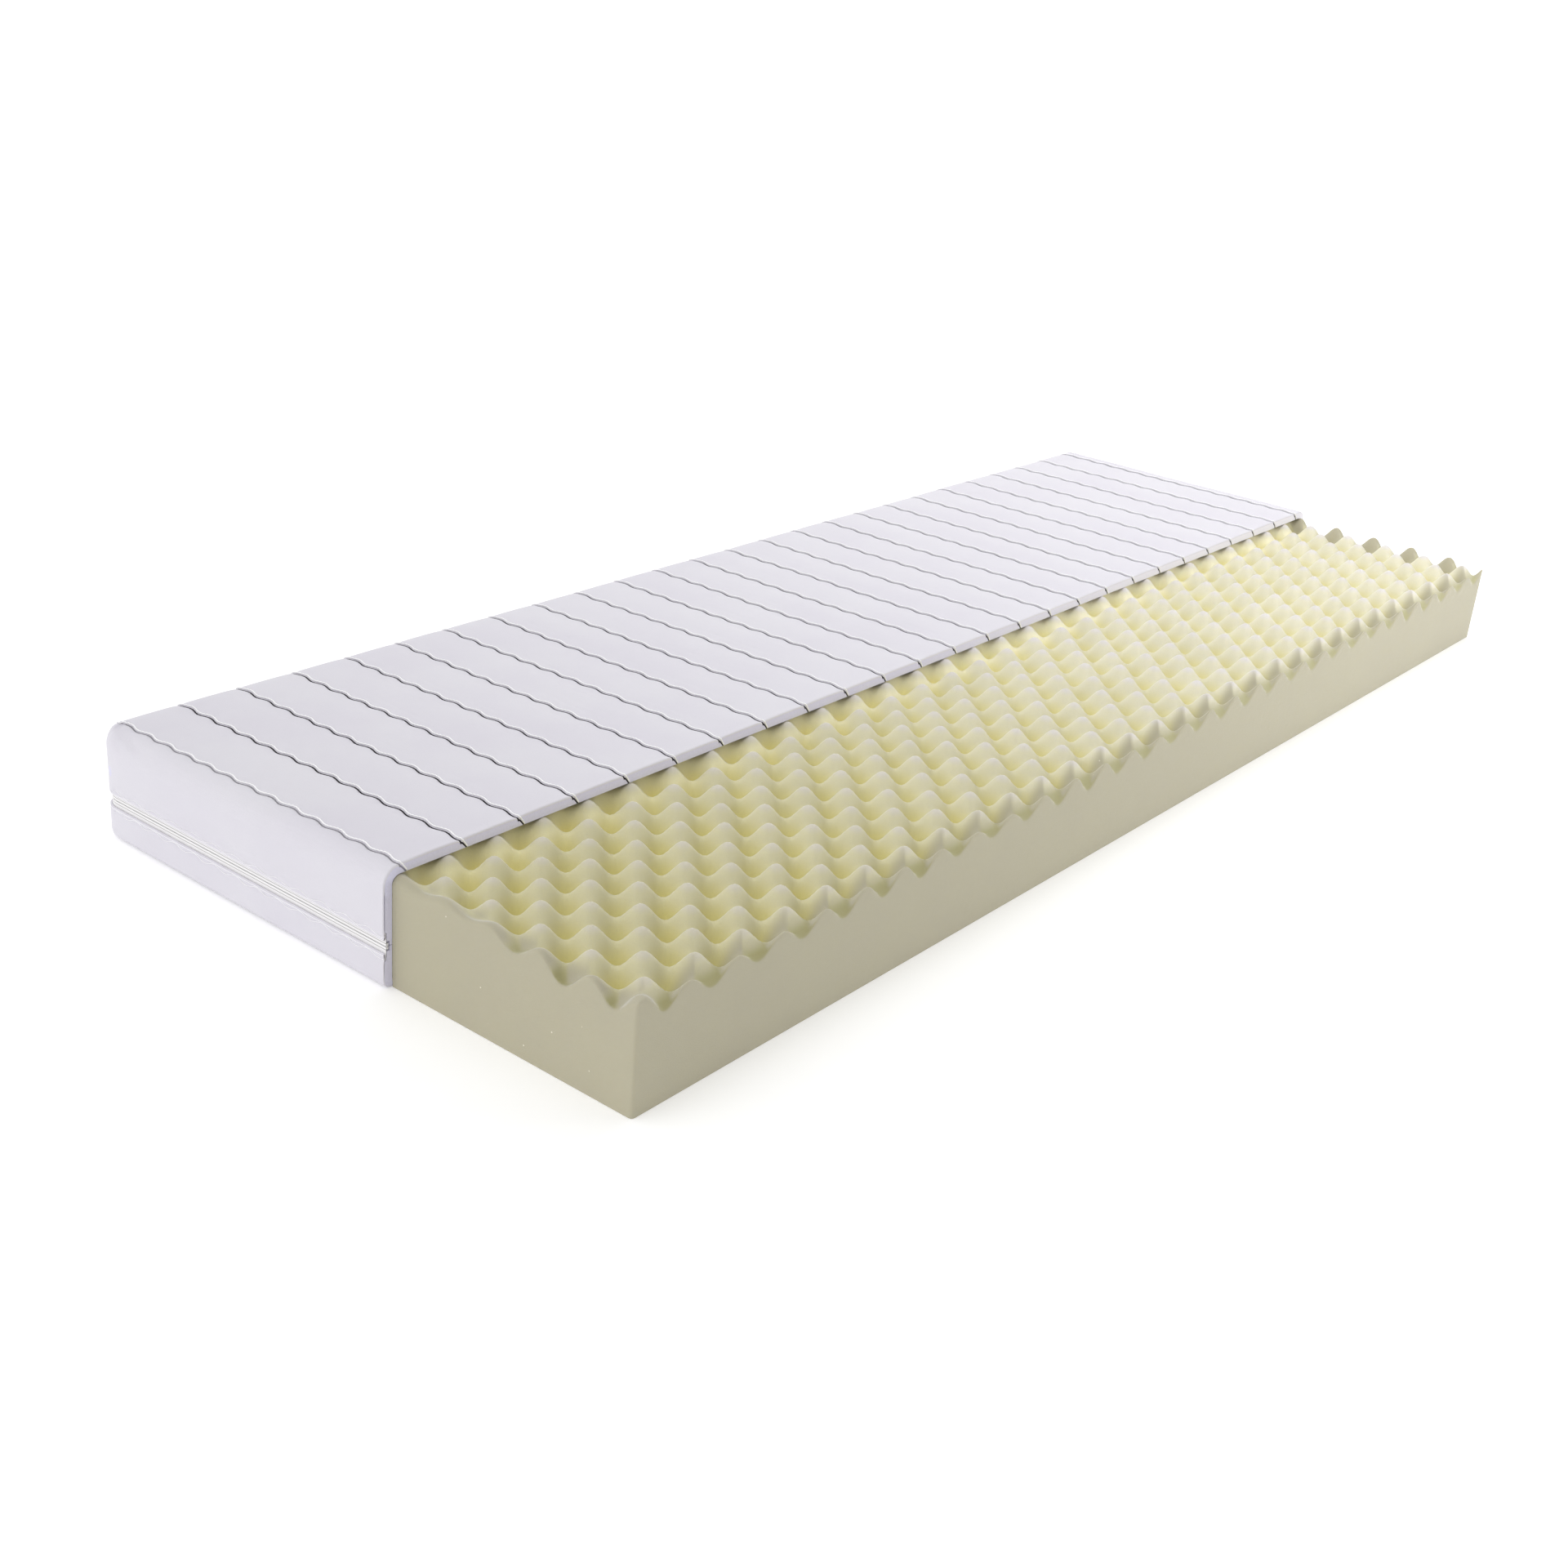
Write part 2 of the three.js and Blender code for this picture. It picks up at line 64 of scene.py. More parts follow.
def middle(node):
    low, high = box(node)
    return (low + high) / 2


# ------------ places, from the frame

THREADS = sorted(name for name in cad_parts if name.startswith("quilting_thread_"))
LINES = np.array([middle(name)[1] for name in THREADS])
PITCH = LINES[1] - LINES[0]
LEFT = box(THREADS[0])[0][0]
TOP = box(THREADS[0])[1][2]
CUT = box("upper_cover_face_fabric")[1][0]
FOOT = box("upper_foot_skirt_thread")[0][1]
HEAD = box("upper_head_skirt_thread")[1][1]
ZIP = middle("zip_slider_body")[2]
HEMS = {"upper": box("upper_cover_face_fabric")[0][2], "lower": box("lower_cover_face_fabric")[1][2]}
CORE_LOW, CORE_HIGH = box("foam_core")
BODIES = {"upper": "upper_cover", "lower": "lower_assembly"}
SKIRT_ROWS = {  # the end that each wavy row is on, and its name
    "upper": ((-1, "upper_foot_skirt"), (1, "upper_head_skirt")), "lower": ((-1, "lower_foot_skirt"),),
}

# ------------ sizes of the cover

CORNER = 30  # radius of the vertical corners
TOP_EDGE = 22  # radius of the top edge
BOTTOM_EDGE = 10
FACE = (0.8, 1.6)  # depths of the layers, from the outside
WADDING = (1.62, 11.28)
BACKING = (11.3, 12)
SMALLEST_RADIUS = 2
HEM_ROWS = 8  # rows of the net in the hem
HEM_RADIUS = 1.6
HEM_STEP = 1.5  # spacing of the net's rows in the hem
ARC_STEP = 4.4  # spacing of the net's rows over the rounded edge

INNER_X = LEFT + CORNER
INNER_FOOT = FOOT + CORNER
INNER_HEAD = HEAD - CORNER
PANEL_WIDTH = CUT - INNER_X
FIRST_LINE_T = INNER_FOOT - LINES[0]

WAVE_LENGTH = 34.4
WAVE_HEIGHT = 2.0
WAVE_START = 2.72  # phase of the wave at the cut
WAVE_FADE = (25, 10)  # the net follows the waves less in these last parts of its foot and head
SKIRT_WAVE = 0.9  # share of the wave in the rows along the skirts
CHANNEL = ((2.6, 1.1), (0.7, 4))  # depth and width of the sewn channel's narrow and wide parts
SKIRT_GROOVE = (1.1, 1.4)  # the same along the skirts' wavy rows
SEAM_GROOVE = (0.5, 0.8)  # and along the seam that holds the zip
CROWN = 0.5  # how far a pad rises between two lines, before the simulation swells it
SHALLOWER_SIDE = 0.6  # share that the lines lose down the long skirt
SHALLOWER_FOOT = 0.4  # and at the first line
UNEVEN_PANEL = 0.35  # height of the slow unevenness
UNEVEN_SKIRT = 0.5
GATHER = 1.7  # height of the gathers at the corners
THREAD_OFFSET = 2.2  # the thread lies on the head side of the channel
THREAD_RADIUS = 0.85
THINNER_SIDE = 0.45  # share that the thread's radius loses down the long skirt
STITCH = 4.2  # length of a quilting stitch
CUT_ROUNDING = 1.4  # the cover's layers are pressed together where they are cut
CUT_SLANT = 0.7  # the lines lean towards the head as they cross the cut face


def smooth(value, low, high):
    share = np.clip((value - low) / (high - low), 0, 1)
    return share * share * (3 - 2 * share)


def wave(s):
    return WAVE_HEIGHT * np.sin(2 * math.pi * s / WAVE_LENGTH - WAVE_START)


# ------------ meshes

def make_mesh(name, points, faces, body, slot, sharp=None):
    mesh = bpy.data.meshes.new(name)
    mesh.from_pydata((np.asarray(points) * MM).tolist(), [], faces)
    mesh.materials.append(MATERIALS[slot])
    mesh.polygons.foreach_set("use_smooth", [True] * len(mesh.polygons))
    mesh.update()
    if sharp:
        mesh.set_sharp_from_angle(angle=math.radians(sharp))
    piece = bpy.data.objects.new(name, mesh)
    bpy.context.scene.collection.objects.link(piece)
    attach(piece, body)
    return piece


def set_attribute(piece, name, values):
    attribute = piece.data.attributes.new(name, "FLOAT", "POINT")
    attribute.data.foreach_set("value", np.asarray(values, np.float32))


def grid_faces(rows, columns, start, flip):
    index = start + np.arange(rows * columns).reshape(rows, columns)
    quads = [index[:-1, :-1], index[1:, :-1], index[1:, 1:], index[:-1, 1:]]
    faces = np.stack([q.ravel() for q in quads], 1)
    return faces[:, ::-1] if flip else faces


# ------------ the net of one half cover

class Net:
    """Points (x, y, ux, uy, t) of a half cover, its faces and the loop of its open edge."""

    def __init__(self, ys, xs, ts, corner_steps, wave_lines, up):
        self.ts = ts
        self.parts = []
        self.quads = []
        self.count = 0
        self.wave_lines = wave_lines
        ends = smooth(ys, INNER_FOOT, INNER_FOOT + WAVE_FADE[0])
        ends = ends * np.clip((INNER_HEAD - ys) / WAVE_FADE[1], 0, 1)
        s_panel = CUT - xs
        panel_y = ys[:, None] + wave(s_panel)[None] * ends[:, None]
        self.add(xs[None], panel_y, 0, 0, 0, not up)
        left_y = ys[:, None] + wave(PANEL_WIDTH + ts)[None] * ends[:, None]
        self.add(INNER_X, left_y, -1, 0, ts[None], not up)
        for end, inner, flip in ((-1, INNER_FOOT, up), (1, INNER_HEAD, not up)):
            shifted = ts[:, None] + self.shift(ts[:, None], s_panel[None], end)
            self.add(xs[None], inner, 0, end, shifted, flip)
            turn = np.linspace(0, math.pi / 2, corner_steps + 1)[:, None]
            ux, uy = -np.cos(turn), end * np.sin(turn)
            moved = ts[None] + self.shift(ts[None], PANEL_WIDTH - ts[None] * ux, end) * uy**2
            self.add(INNER_X, inner, ux, uy, moved, flip)
        self.merge()

    def shift(self, t, s, end):
        """How far the net's rows move along t, so that they follow the wavy lines of an end."""
        total = 0 * t * s
        for line_end, line_t, reach, height in self.wave_lines:
            if line_end == end:
                near = np.clip(1 - abs(t - line_t) / reach, 0, 1)
                total = total + end * height * wave(s) * near
        return total

    def add(self, *values):
        *values, flip = values
        grid = np.broadcast_arrays(*[np.asarray(v, float) for v in values])
        rows, columns = grid[0].shape
        self.parts.append(np.stack([g.ravel() for g in grid], 1))
        self.quads.append(grid_faces(rows, columns, self.count, flip))
        self.count += rows * columns

    def merge(self):
        """Joins the patches where they meet in the flat, and drops the faces' doubled corners."""
        points = np.concatenate(self.parts)
        flat = np.round(points[:, :2] + points[:, 2:4] * points[:, 4:5], 3)
        _, first, index = np.unique(flat, axis=0, return_index=True, return_inverse=True)
        self.at = points[first].T
        self.x, _, _, self.uy, self.t = self.at
        faces = index.ravel()[np.concatenate(self.quads)].tolist()
        self.faces = [[v for i, v in enumerate(f) if v != f[i - 1]] for f in faces]
        edges = {}
        for face in self.faces:
            for a, b in zip(face, face[1:] + face[:1]):
                edges[(a, b)] = True
        self.rim = [(a, b) for a, b in edges if (b, a) not in edges]


def line_distance(s, y):
    """Signed distance from a point of the fabric to the nearest quilting line."""
    gaps = (y - wave(s))[:, None] - LINES[None]
    nearest = np.abs(gaps).argmin(1)
    return gaps[np.arange(len(gaps)), nearest]


def groove(gap, depth, width):
    return depth * np.exp(-abs(gap) / width)


def rounding(distance, radius):
    """How far a rounded edge falls away, at a distance inside it."""
    short = np.clip(radius - distance, 0, radius)
    return radius - np.sqrt(np.maximum(radius**2 - short**2, 0))


class Half:
    """One half of the cover: where its panel and skirts lie, and the relief of its quilting."""

    def __init__(
        self, name, panel, edge, skirt_zs, relief, offsets, xs, corner_steps,
        panel_depth=FACE[0], flat_rows=(0, 4, 6.4, 8, 9.6, 12, 15),
    ):
        self.name, self.panel, self.edge = name, panel, edge
        self.up = name == "upper"
        self.sign = 1 if self.up else -1
        self.relief = relief
        self.skirt_lines = [(end, middle(f"{row}_thread")[2]) for end, row in SKIRT_ROWS[name]]
        self.seam = middle(f"{name}_zip_seam_thread")[2]
        self.flat = CORNER - edge
        self.turn_t = self.flat + math.pi / 2 * (edge - FACE[0])
        self.skirt_start = panel - self.sign * edge
        self.skirt_zs = [*skirt_zs, HEMS[name] + self.sign * HEM_RADIUS]
        flat = list(flat_rows)
        flat += [self.flat] if self.flat > flat[-1] else []
        steps = max(3, round((self.turn_t - flat[-1]) / ARC_STEP))
        arc = np.linspace(flat[-1], self.turn_t, steps + 1)[1:]
        skirt = [self.t_at(z) for z in self.skirt_zs]
        hem = [skirt[-1] + HEM_STEP * (i + 1) for i in range(HEM_ROWS)]
        self.hem_t = hem[0]
        self.ts = np.array(flat + arc.tolist() + skirt + hem)
        self.turn_rows = len(flat) + len(arc)
        waves = [(-1, FIRST_LINE_T, 8, 1)]
        for end, z in self.skirt_lines:
            waves.append((end, self.t_at(z), 10, -SKIRT_WAVE * self.sign * end))
        self.net = Net(rows_beside_lines(offsets), xs, self.ts, corner_steps, waves, self.up)
        self.outer = self.profile(FACE[0], panel_depth, folded_hem(self, 0))

    def t_at(self, z):
        """t at a height on the skirt."""
        return self.turn_t + abs(self.skirt_start - z)

    def above_hem(self, t, last=2):
        """1 on the panel and down the skirt, falling to 0 just before the hem."""
        return 1 - smooth(t, self.hem_t - 9, self.hem_t - last)

    def profile(self, depth, panel_depth, skirt):
        """Offset, height and normal at each row of the net, for the surface at one depth."""
        radius = max(self.edge - depth, SMALLEST_RADIUS)
        flat = CORNER - depth - radius
        z_panel = self.panel - self.sign * panel_depth
        rise = abs(self.skirt_start - z_panel)
        t = self.ts[: self.turn_rows]
        turn = np.clip((t - self.flat) / (self.turn_t - self.flat), 0, 1) * math.pi / 2
        offset = np.where(t <= self.flat, t * flat / self.flat, flat + radius * np.sin(turn))
        z = z_panel - self.sign * rise * (1 - np.cos(turn))
        depths, zs = np.array(skirt).T
        out = np.ones(len(depths))
        return {
            "offset": np.concatenate([offset, CORNER - depths]),
            "z": np.concatenate([z, zs]),
            "out": np.concatenate([np.sin(turn), out]),
            "up": np.concatenate([self.sign * np.cos(turn), 0 * out]),
        }

    def place(self, x, y, ux, uy, t, profile, relief=0):
        offset, z, out, up = (np.interp(t, self.ts, profile[k]) for k in ("offset", "z", "out", "up"))
        length = np.maximum(np.hypot(out, up), 1e-6)
        push = out / length * relief
        points = [x + ux * (offset + push), y + uy * (offset + push), z + up / length * relief]
        return np.stack(np.broadcast_arrays(*points), -1)

    def lines(self, x, y, ux, uy, t):
        """Distance along the lines, signed distance to the nearest one, and how deep it is sewn."""
        s = CUT - x - t * np.minimum(ux, 0)
        offset = np.interp(t, self.ts, self.outer["offset"])
        skirt = np.maximum(t - self.turn_t, 0)
        y_flat = y + uy * (offset + skirt * abs(uy) ** 3)
        sewn = 1 - SHALLOWER_SIDE * smooth(t * abs(ux), self.flat, self.turn_t)
        from_foot = smooth(y_flat, LINES[0] + 4, LINES[0] + 30)
        sewn = sewn * (1 - SHALLOWER_FOOT + SHALLOWER_FOOT * from_foot)
        return s, line_distance(s, y_flat), sewn * self.above_hem(t)

    def pads(self, x, y, ux, uy, t):
        """Height of the quilted surface over the plain one."""
        s, distance, sewn = self.lines(x, y, ux, uy, t)
        crown = CROWN * (1 - (1 - np.minimum(abs(distance) / (PITCH / 2), 1)) ** 2)
        height = (crown - sum(groove(distance, *part) for part in CHANNEL)) * sewn * self.relief
        height = height - rounding(CUT - x, CUT_ROUNDING) * self.above_hem(t) * self.relief
        z = np.interp(t, self.ts, self.outer["z"])
        for end, line_z in self.skirt_lines:
            gap = z - line_z - SKIRT_WAVE * wave(s)
            height = height - groove(gap, *SKIRT_GROOVE) * smooth(uy * end, 0.7, 1)
        on_skirt = smooth(t, self.turn_t, self.turn_t + 5)
        height = height - groove(z - self.seam, *SEAM_GROOVE) * on_skirt
        return height + self.softness(x, y, ux, uy, t)

    def softness(self, x, y, ux, uy, t):
        """Slow unevenness of the padding, and the gathers where the first line meets a corner."""
        slow = UNEVEN_PANEL * np.sin(x / 47 + 1.3 * np.sin(y / 91)) * np.sin(y / 61 + 0.7) * self.relief
        slow = slow + UNEVEN_SKIRT * np.sin(x / 70 + y / 120) * smooth(t, self.flat, self.turn_t)
        angle = np.arctan2(abs(uy), abs(ux) + 1e-9)
        gather = np.sin(angle * 19 + 0.5) * np.sin(2 * angle) * np.exp(-(((t - 17) / 10) ** 2))
        gather = GATHER * gather * (abs(ux) > 0) * self.relief
        return (slow + gather) * self.above_hem(t, 1)

    def layer(self, name, slot, outer, inner, relief=0, inner_relief=0, swell=(0, 0)):
        """A closed layer between two surfaces of the net. swell moves each surface's points."""
        net = self.net
        points = [self.place(*net.at, outer, relief) + swell[0]]
        points.append(self.place(*net.at, inner, inner_relief) + swell[1])
        count = len(net.x)
        faces = net.faces + [[v + count for v in reversed(f)] for f in net.faces]
        faces += [[b, a, a + count, b + count] for a, b in net.rim]
        name = f"{self.name}_cover_{name}"
        piece = make_mesh(name, np.concatenate(points), faces, BODIES[self.name], slot, sharp=50)
        s, distance, sewn = self.lines(*net.at)
        near = sewn * (1 - smooth(abs(distance), 8, 20))
        slants = [CUT_SLANT * (self.outer["z"][0] - surface["z"][0]) for surface in (outer, inner)]
        set_attribute(piece, "along", np.concatenate([s, s]))
        set_attribute(piece, "line", np.concatenate([distance - slant for slant in slants]))
        set_attribute(piece, "sewn", np.concatenate([near, near * (net.x > CUT - 1)]))
        return piece


def spaced(corners, count):
    """count points along a line through the corners, with one on every corner."""
    corners = np.array(corners, float)
    lengths = np.cumsum([0, *np.linalg.norm(np.diff(corners, axis=0), axis=1)])
    at = np.linspace(0, lengths[-1], count)
    for length in lengths:
        at[abs(at - length).argmin()] = length
    at = np.sort(at)
    return [(np.interp(a, lengths, corners[:, 0]), np.interp(a, lengths, corners[:, 1])) for a in at]


def folded_hem(half, offset):
    """Skirt rows of the face fabric, then its hem: folded in over the zip and back up inside.
    offset is 0 for the fabric's outer surface."""
    side = half.sign
    depth = FACE[0] + offset
    radius = HEM_RADIUS - offset
    fold_depth = FACE[0] + HEM_RADIUS
    fold_z = HEMS[half.name] + side * HEM_RADIUS
    rows = [(depth, z) for z in half.skirt_zs]
    for i in range(HEM_ROWS - 2):
        angle = math.pi * (i + 1) / (HEM_ROWS - 2)
        rows.append((fold_depth - radius * math.cos(angle), fold_z - side * radius * math.sin(angle)))
    inside = fold_depth + radius
    return rows + [(inside, fold_z + side * 3), (inside, fold_z + side * 6.4)]


def rows_beside_lines(offsets):
    """y of the net's rows: close together near each line, with none past the ends."""
    ys = {INNER_FOOT, INNER_HEAD}
    for line in LINES[1:]:
        for offset in offsets:
            for y in (line - offset, line + offset):
                if INNER_FOOT + 2 < y < INNER_HEAD - 2:
                    ys.add(float(y))
    ys = np.array(sorted(ys))
    keep = np.concatenate([[True], np.diff(ys) > 0.3])
    return ys[keep]


def columns(step, at_cut=(0, 0.6, 1.4, 2.4)):
    """x of the net's columns, with extra ones in the rounded edge at the cut."""
    count = round(PANEL_WIDTH / step)
    even = np.linspace(CUT, INNER_X, count + 1)[1:]
    return np.concatenate([CUT - np.array(at_cut), even])


def upper_half():
    return Half(
        "upper", panel=TOP, edge=TOP_EDGE, relief=1, corner_steps=22,
        skirt_zs=[104, 92, 80, 70, 65, 62, 60.4, 59, 57.6],
        offsets=(0, 0.7, 1.6, 3.2, 6.5, 12, 20, 30, PITCH / 2), xs=columns(4.9),
    )


def simulated_half():
    """The upper half on a coarser net, for the cloth simulation."""
    return Half(
        "upper", panel=TOP, edge=TOP_EDGE, relief=1, corner_steps=10,
        skirt_zs=[104, 96, 88, 80, 72, 66, 60.4], flat_rows=(0, 4, 8, 13),
        offsets=(0, 4, 9, 15, 22, 30, PITCH / 2), xs=columns(8, at_cut=(0,)),
    )


def lower_half():
    return Half(
        "lower", panel=0, edge=BOTTOM_EDGE, relief=0.35, corner_steps=14, panel_depth=0.6,
        skirt_zs=[14, 20, 26, 31, 33.6, 35, 36.4],
        offsets=(0, 1.2, 3.4, 9, 20, PITCH / 2), xs=columns(7.5),
    )


# ------------ materials

def new_material(name):
    material = bpy.data.materials.new(name)
    material.use_nodes = True
    return material, material.node_tree.nodes["Principled BSDF"]


def fill(made, inputs):
    """Links or sets a node's inputs."""
    for key, value in inputs.items():
        if isinstance(value, bpy.types.NodeSocket):
            made.id_data.links.new(value, made.inputs[key])
        else:
            made.inputs[key].default_value = value


def node(kind, inputs, **settings):
    """A new node, in the tree that its linked inputs are in."""
    tree = next(v.id_data for v in inputs.values() if isinstance(v, bpy.types.NodeSocket))
    made = tree.nodes.new(kind)
    for key, value in settings.items():
        setattr(made, key, value)
    fill(made, inputs)
    return made


def maths(operation, a, b=0.0, c=0.0):
    return node("ShaderNodeMath", {0: a, 1: b, 2: c}, operation=operation).outputs[0]


def times(a, b):
    return maths("MULTIPLY", a, b)


def remap(value, low, high, to_low=0.0, to_high=1.0):
    inputs = {"Value": value, "From Min": low, "From Max": high, "To Min": to_low, "To Max": to_high}
    return node("ShaderNodeMapRange", inputs, interpolation_type="SMOOTHSTEP").outputs[0]


def mix(share, a, b, blend="MIX"):
    inputs = {"Factor": share, 6: a, 7: b}
    return node("ShaderNodeMix", inputs, data_type="RGBA", blend_type=blend).outputs[2]


def noise(place, scale, detail=2.0, roughness=0.5):
    inputs = {"Vector": place, "Scale": scale, "Detail": detail, "Roughness": roughness}
    return node("ShaderNodeTexNoise", inputs).outputs["Fac"]


def axes(vector):
    return node("ShaderNodeSeparateXYZ", {0: vector}).outputs


def bump(shader, height, distance):
    inputs = {"Height": height, "Distance": distance, "Strength": 1.0}
    fill(shader, {"Normal": node("ShaderNodeBump", inputs).outputs[0]})


def attribute(shader, name):
    made = shader.id_data.nodes.new("ShaderNodeAttribute")
    made.attribute_name = name
    return made.outputs["Fac"]


def place_of(shader):
    return shader.id_data.nodes.new("ShaderNodeTexCoord").outputs["Object"]


def knit(place, size):
    """Rows of small loops: a fine weft knit, as a height from 0 to 1."""
    xyz = axes(place)
    turns = [times(xyz[i], 2 * math.pi / size) for i in range(3)]
    bent = maths("ADD", turns[1], maths("SINE", turns[0]))
    loops = times(maths("SINE", turns[0]), maths("SINE", bent))
    rise = times(maths("SINE", turns[2]), 0.5)
    return maths("ADD", loops, rise)


COVER_COLOUR = (0.69, 0.67, 0.73, 1)
CLOUD_COLOUR = (0.71, 0.695, 0.745, 1)
GRAIN_COLOUR = (0.55, 0.53, 0.60, 1)
# painted shade, nearly black, in the sewn channels of the cover and the padding
PAINTED_CHANNEL_SHADE = (0.012, 0.008, 0.014, 1)
KNIT_SIZE = 0.0011  # of a loop, in metres
PUCKER = 6.5  # mm from one pucker to the next along a line
SHADE_SHIFT = 0.1  # the shade lies beside the thread, on its foot side


def channel_shade(shader, inner, outer):
    """1 along the sewn lines, from the attributes of a layer, and 0 away from them. It masks the painted
    shade in the channels and the puckers beside them.
    """
    distance = maths("ABSOLUTE", maths("SUBTRACT", attribute(shader, "line"), SHADE_SHIFT))
    sewn = remap(attribute(shader, "sewn"), 0.2, 0.9)
    return times(remap(distance, inner, outer, 1, 0), sewn)


def cover_fabric():
    material, shader = new_material("Quilted cover fabric")
    place = place_of(shader)
    cloud = noise(place, 9, 3)
    grain = noise(place, 900, 2)
    colour = mix(remap(cloud, 0.3, 0.7), COVER_COLOUR, CLOUD_COLOUR)
    colour = mix(remap(grain, 0.35, 0.75, 0, 0.10), colour, GRAIN_COLOUR)
    # painted shade darkens the sewn channels
    colour = mix(channel_shade(shader, 0.7, 1.3), colour, PAINTED_CHANNEL_SHADE)
    fill(shader, {
        "Base Color": colour, "Roughness": 0.85, "Sheen Weight": 0.25, "Sheen Roughness": 0.5,
        "Specular IOR Level": 0.25,
    })
    pull = maths("SINE", times(attribute(shader, "along"), 2 * math.pi / PUCKER))
    pull = times(pull, times(channel_shade(shader, 1, 9), 0.3))
    weave = times(knit(place, KNIT_SIZE), 0.12)
    wrinkles = times(noise(place, 60, 3), 0.5)
    height = maths("ADD", maths("ADD", pull, weave), wrinkles)
    bump(shader, height, 0.0005)
    return material


PADDING_COLOUR = (0.70, 0.685, 0.83, 1)
PAINTED_LIGHT_PADDING_COLOUR = (0.82, 0.805, 0.87, 1)  # painted light: the padding is painted paler nearer the head, where more light falls
FIBRE_COLOUR = (0.35, 0.34, 0.41, 1)


def padding(name, fibre_scale, depth):
    """Fibre wadding or fleece: matt, with a fine felted surface."""
    material, shader = new_material(name)
    place = place_of(shader)
    fibres = noise(place, fibre_scale, 6, 0.7)
    run = axes(place)[1]
    # painted light: paler towards the head
    colour = mix(remap(run, -0.3, 0.8), PADDING_COLOUR, PAINTED_LIGHT_PADDING_COLOUR)
    colour = mix(remap(fibres, 0.3, 0.7, 0.12, 0), colour, FIBRE_COLOUR)
    # painted shade darkens the sewn lines
    colour = mix(channel_shade(shader, 0.7, 1.5), colour, PAINTED_CHANNEL_SHADE)
    fill(shader, {
        "Base Color": colour, "Roughness": 0.95, "Specular IOR Level": 0.15, "Sheen Weight": 0.15,
    })
    bump(shader, fibres, depth)
    return material


PEAK_COLOUR = (0.62, 0.585, 0.49, 1)
SLOPE_COLOUR = (0.65, 0.615, 0.41, 1)
# painted bounce light: the pits are a deeper yellow, as if lit by light bounced between the foam's walls
PAINTED_BOUNCE_PIT_COLOUR = (0.66, 0.60, 0.25, 1)
# painted shade in the pits at the foam's cut edges
PAINTED_SHADE_EDGE_PIT_COLOUR = (0.36, 0.335, 0.165, 1)
PAINTED_LIGHT_TOWARDS_HEAD = (1.21, 1.23, 1.47, 1)  # painted light: the foam's top is painted paler towards the head, where more light falls
PAINTED_LIGHT_BESIDE_COVER = (1.3, 1.29, 1.2, 1)  # painted light: its pits next to the cover are painted paler too, to lift the cover's shadow
BESIDE_REACH = 45
CUT_COLOUR = (0.455, 0.425, 0.32, 1)
PATCH_COLOUR = (0.50, 0.475, 0.33, 1)
CELL_COLOUR = (0.40, 0.38, 0.28, 1)
SPECK_COLOUR = (0.95, 0.93, 0.86, 1)


def foam_specks(place, cut):
    """Small pale specks, scattered over the cut faces."""
    specks = node("ShaderNodeTexVoronoi", {"Vector": place, "Scale": 85.0})
    pick = node("ShaderNodeSeparateColor", {0: specks.outputs["Color"]}).outputs[0]
    chosen = maths("GREATER_THAN", pick, 0.8)
    speck = times(maths("LESS_THAN", specks.outputs["Distance"], 0.07), chosen)
    return times(speck, times(cut, 0.6))


def foam():
    """Open-cell foam: greyer on the tips and the cut faces, and yellower down in the pits from painted
    bounce light.
    Painted shade darkens the pits at the cut edges, and painted light makes the top paler towards the
    head and beside the cover.
    """
    material, shader = new_material("Convoluted foam")
    place = place_of(shader)
    depth = attribute(shader, "depth")
    cut = attribute(shader, "cut")
    patches = noise(place, 14, 3)
    cells = noise(place, 1100, 3, 0.6)
    colour = mix(remap(depth, 0, 0.24), PEAK_COLOUR, SLOPE_COLOUR)
    # painted bounce light makes the pits yellower
    colour = mix(remap(depth, 0.3, 0.95), colour, PAINTED_BOUNCE_PIT_COLOUR)
    # painted shade darkens the pits near the cut edges
    edge_pit_shade = times(attribute(shader, "edge"), remap(depth, 0.12, 0.55))
    colour = mix(edge_pit_shade, colour, PAINTED_SHADE_EDGE_PIT_COLOUR)
    side, run = axes(place)[:2]
    # painted light: paler towards the head
    colour = mix(remap(run, -0.85, 0.3), colour, PAINTED_LIGHT_TOWARDS_HEAD, "MULTIPLY")
    # painted light: paler pits next to the cover, against its shadow
    beside = remap(side, CUT * MM, (CUT + BESIDE_REACH) * MM, 1, 0)
    beside = times(beside, remap(depth, 0.08, 0.4))
    colour = mix(beside, colour, PAINTED_LIGHT_BESIDE_COVER, "MULTIPLY")
    colour = mix(cut, colour, CUT_COLOUR)
    colour = mix(remap(patches, 0.3, 0.7, 0, 0.15), colour, PATCH_COLOUR)
    colour = mix(remap(cells, 0.4, 0.75, 0, 0.12), colour, CELL_COLOUR)
    colour = mix(foam_specks(place, cut), colour, SPECK_COLOUR)
    fill(shader, {
        "Base Color": colour, "Roughness": 0.9, "Specular IOR Level": 0.15, "Sheen Weight": 1.0,
        "Sheen Roughness": 0.22, "Subsurface Weight": 0.15, "Subsurface Radius": (1.0, 0.85, 0.5),
        "Subsurface Scale": 0.004,
    })
    height = maths("ADD", cells, times(noise(place, 120, 3), 0.8))
    bump(shader, height, 0.0004)
    return material


def sewing_thread():
    material, shader = new_material("Sewing thread")
    place = place_of(shader)
    inputs = {"Vector": place, "Scale": 900.0, "Distortion": 1.0}
    twist = node("ShaderNodeTexWave", inputs, bands_direction="DIAGONAL").outputs["Fac"]
    colour = mix(twist, (0.96, 0.955, 0.97, 1), (1.0, 0.995, 1.0, 1))
    fill(shader, {"Base Color": colour, "Roughness": 0.5, "Sheen Weight": 0.3})
    bump(shader, twist, 0.00001)
    return material


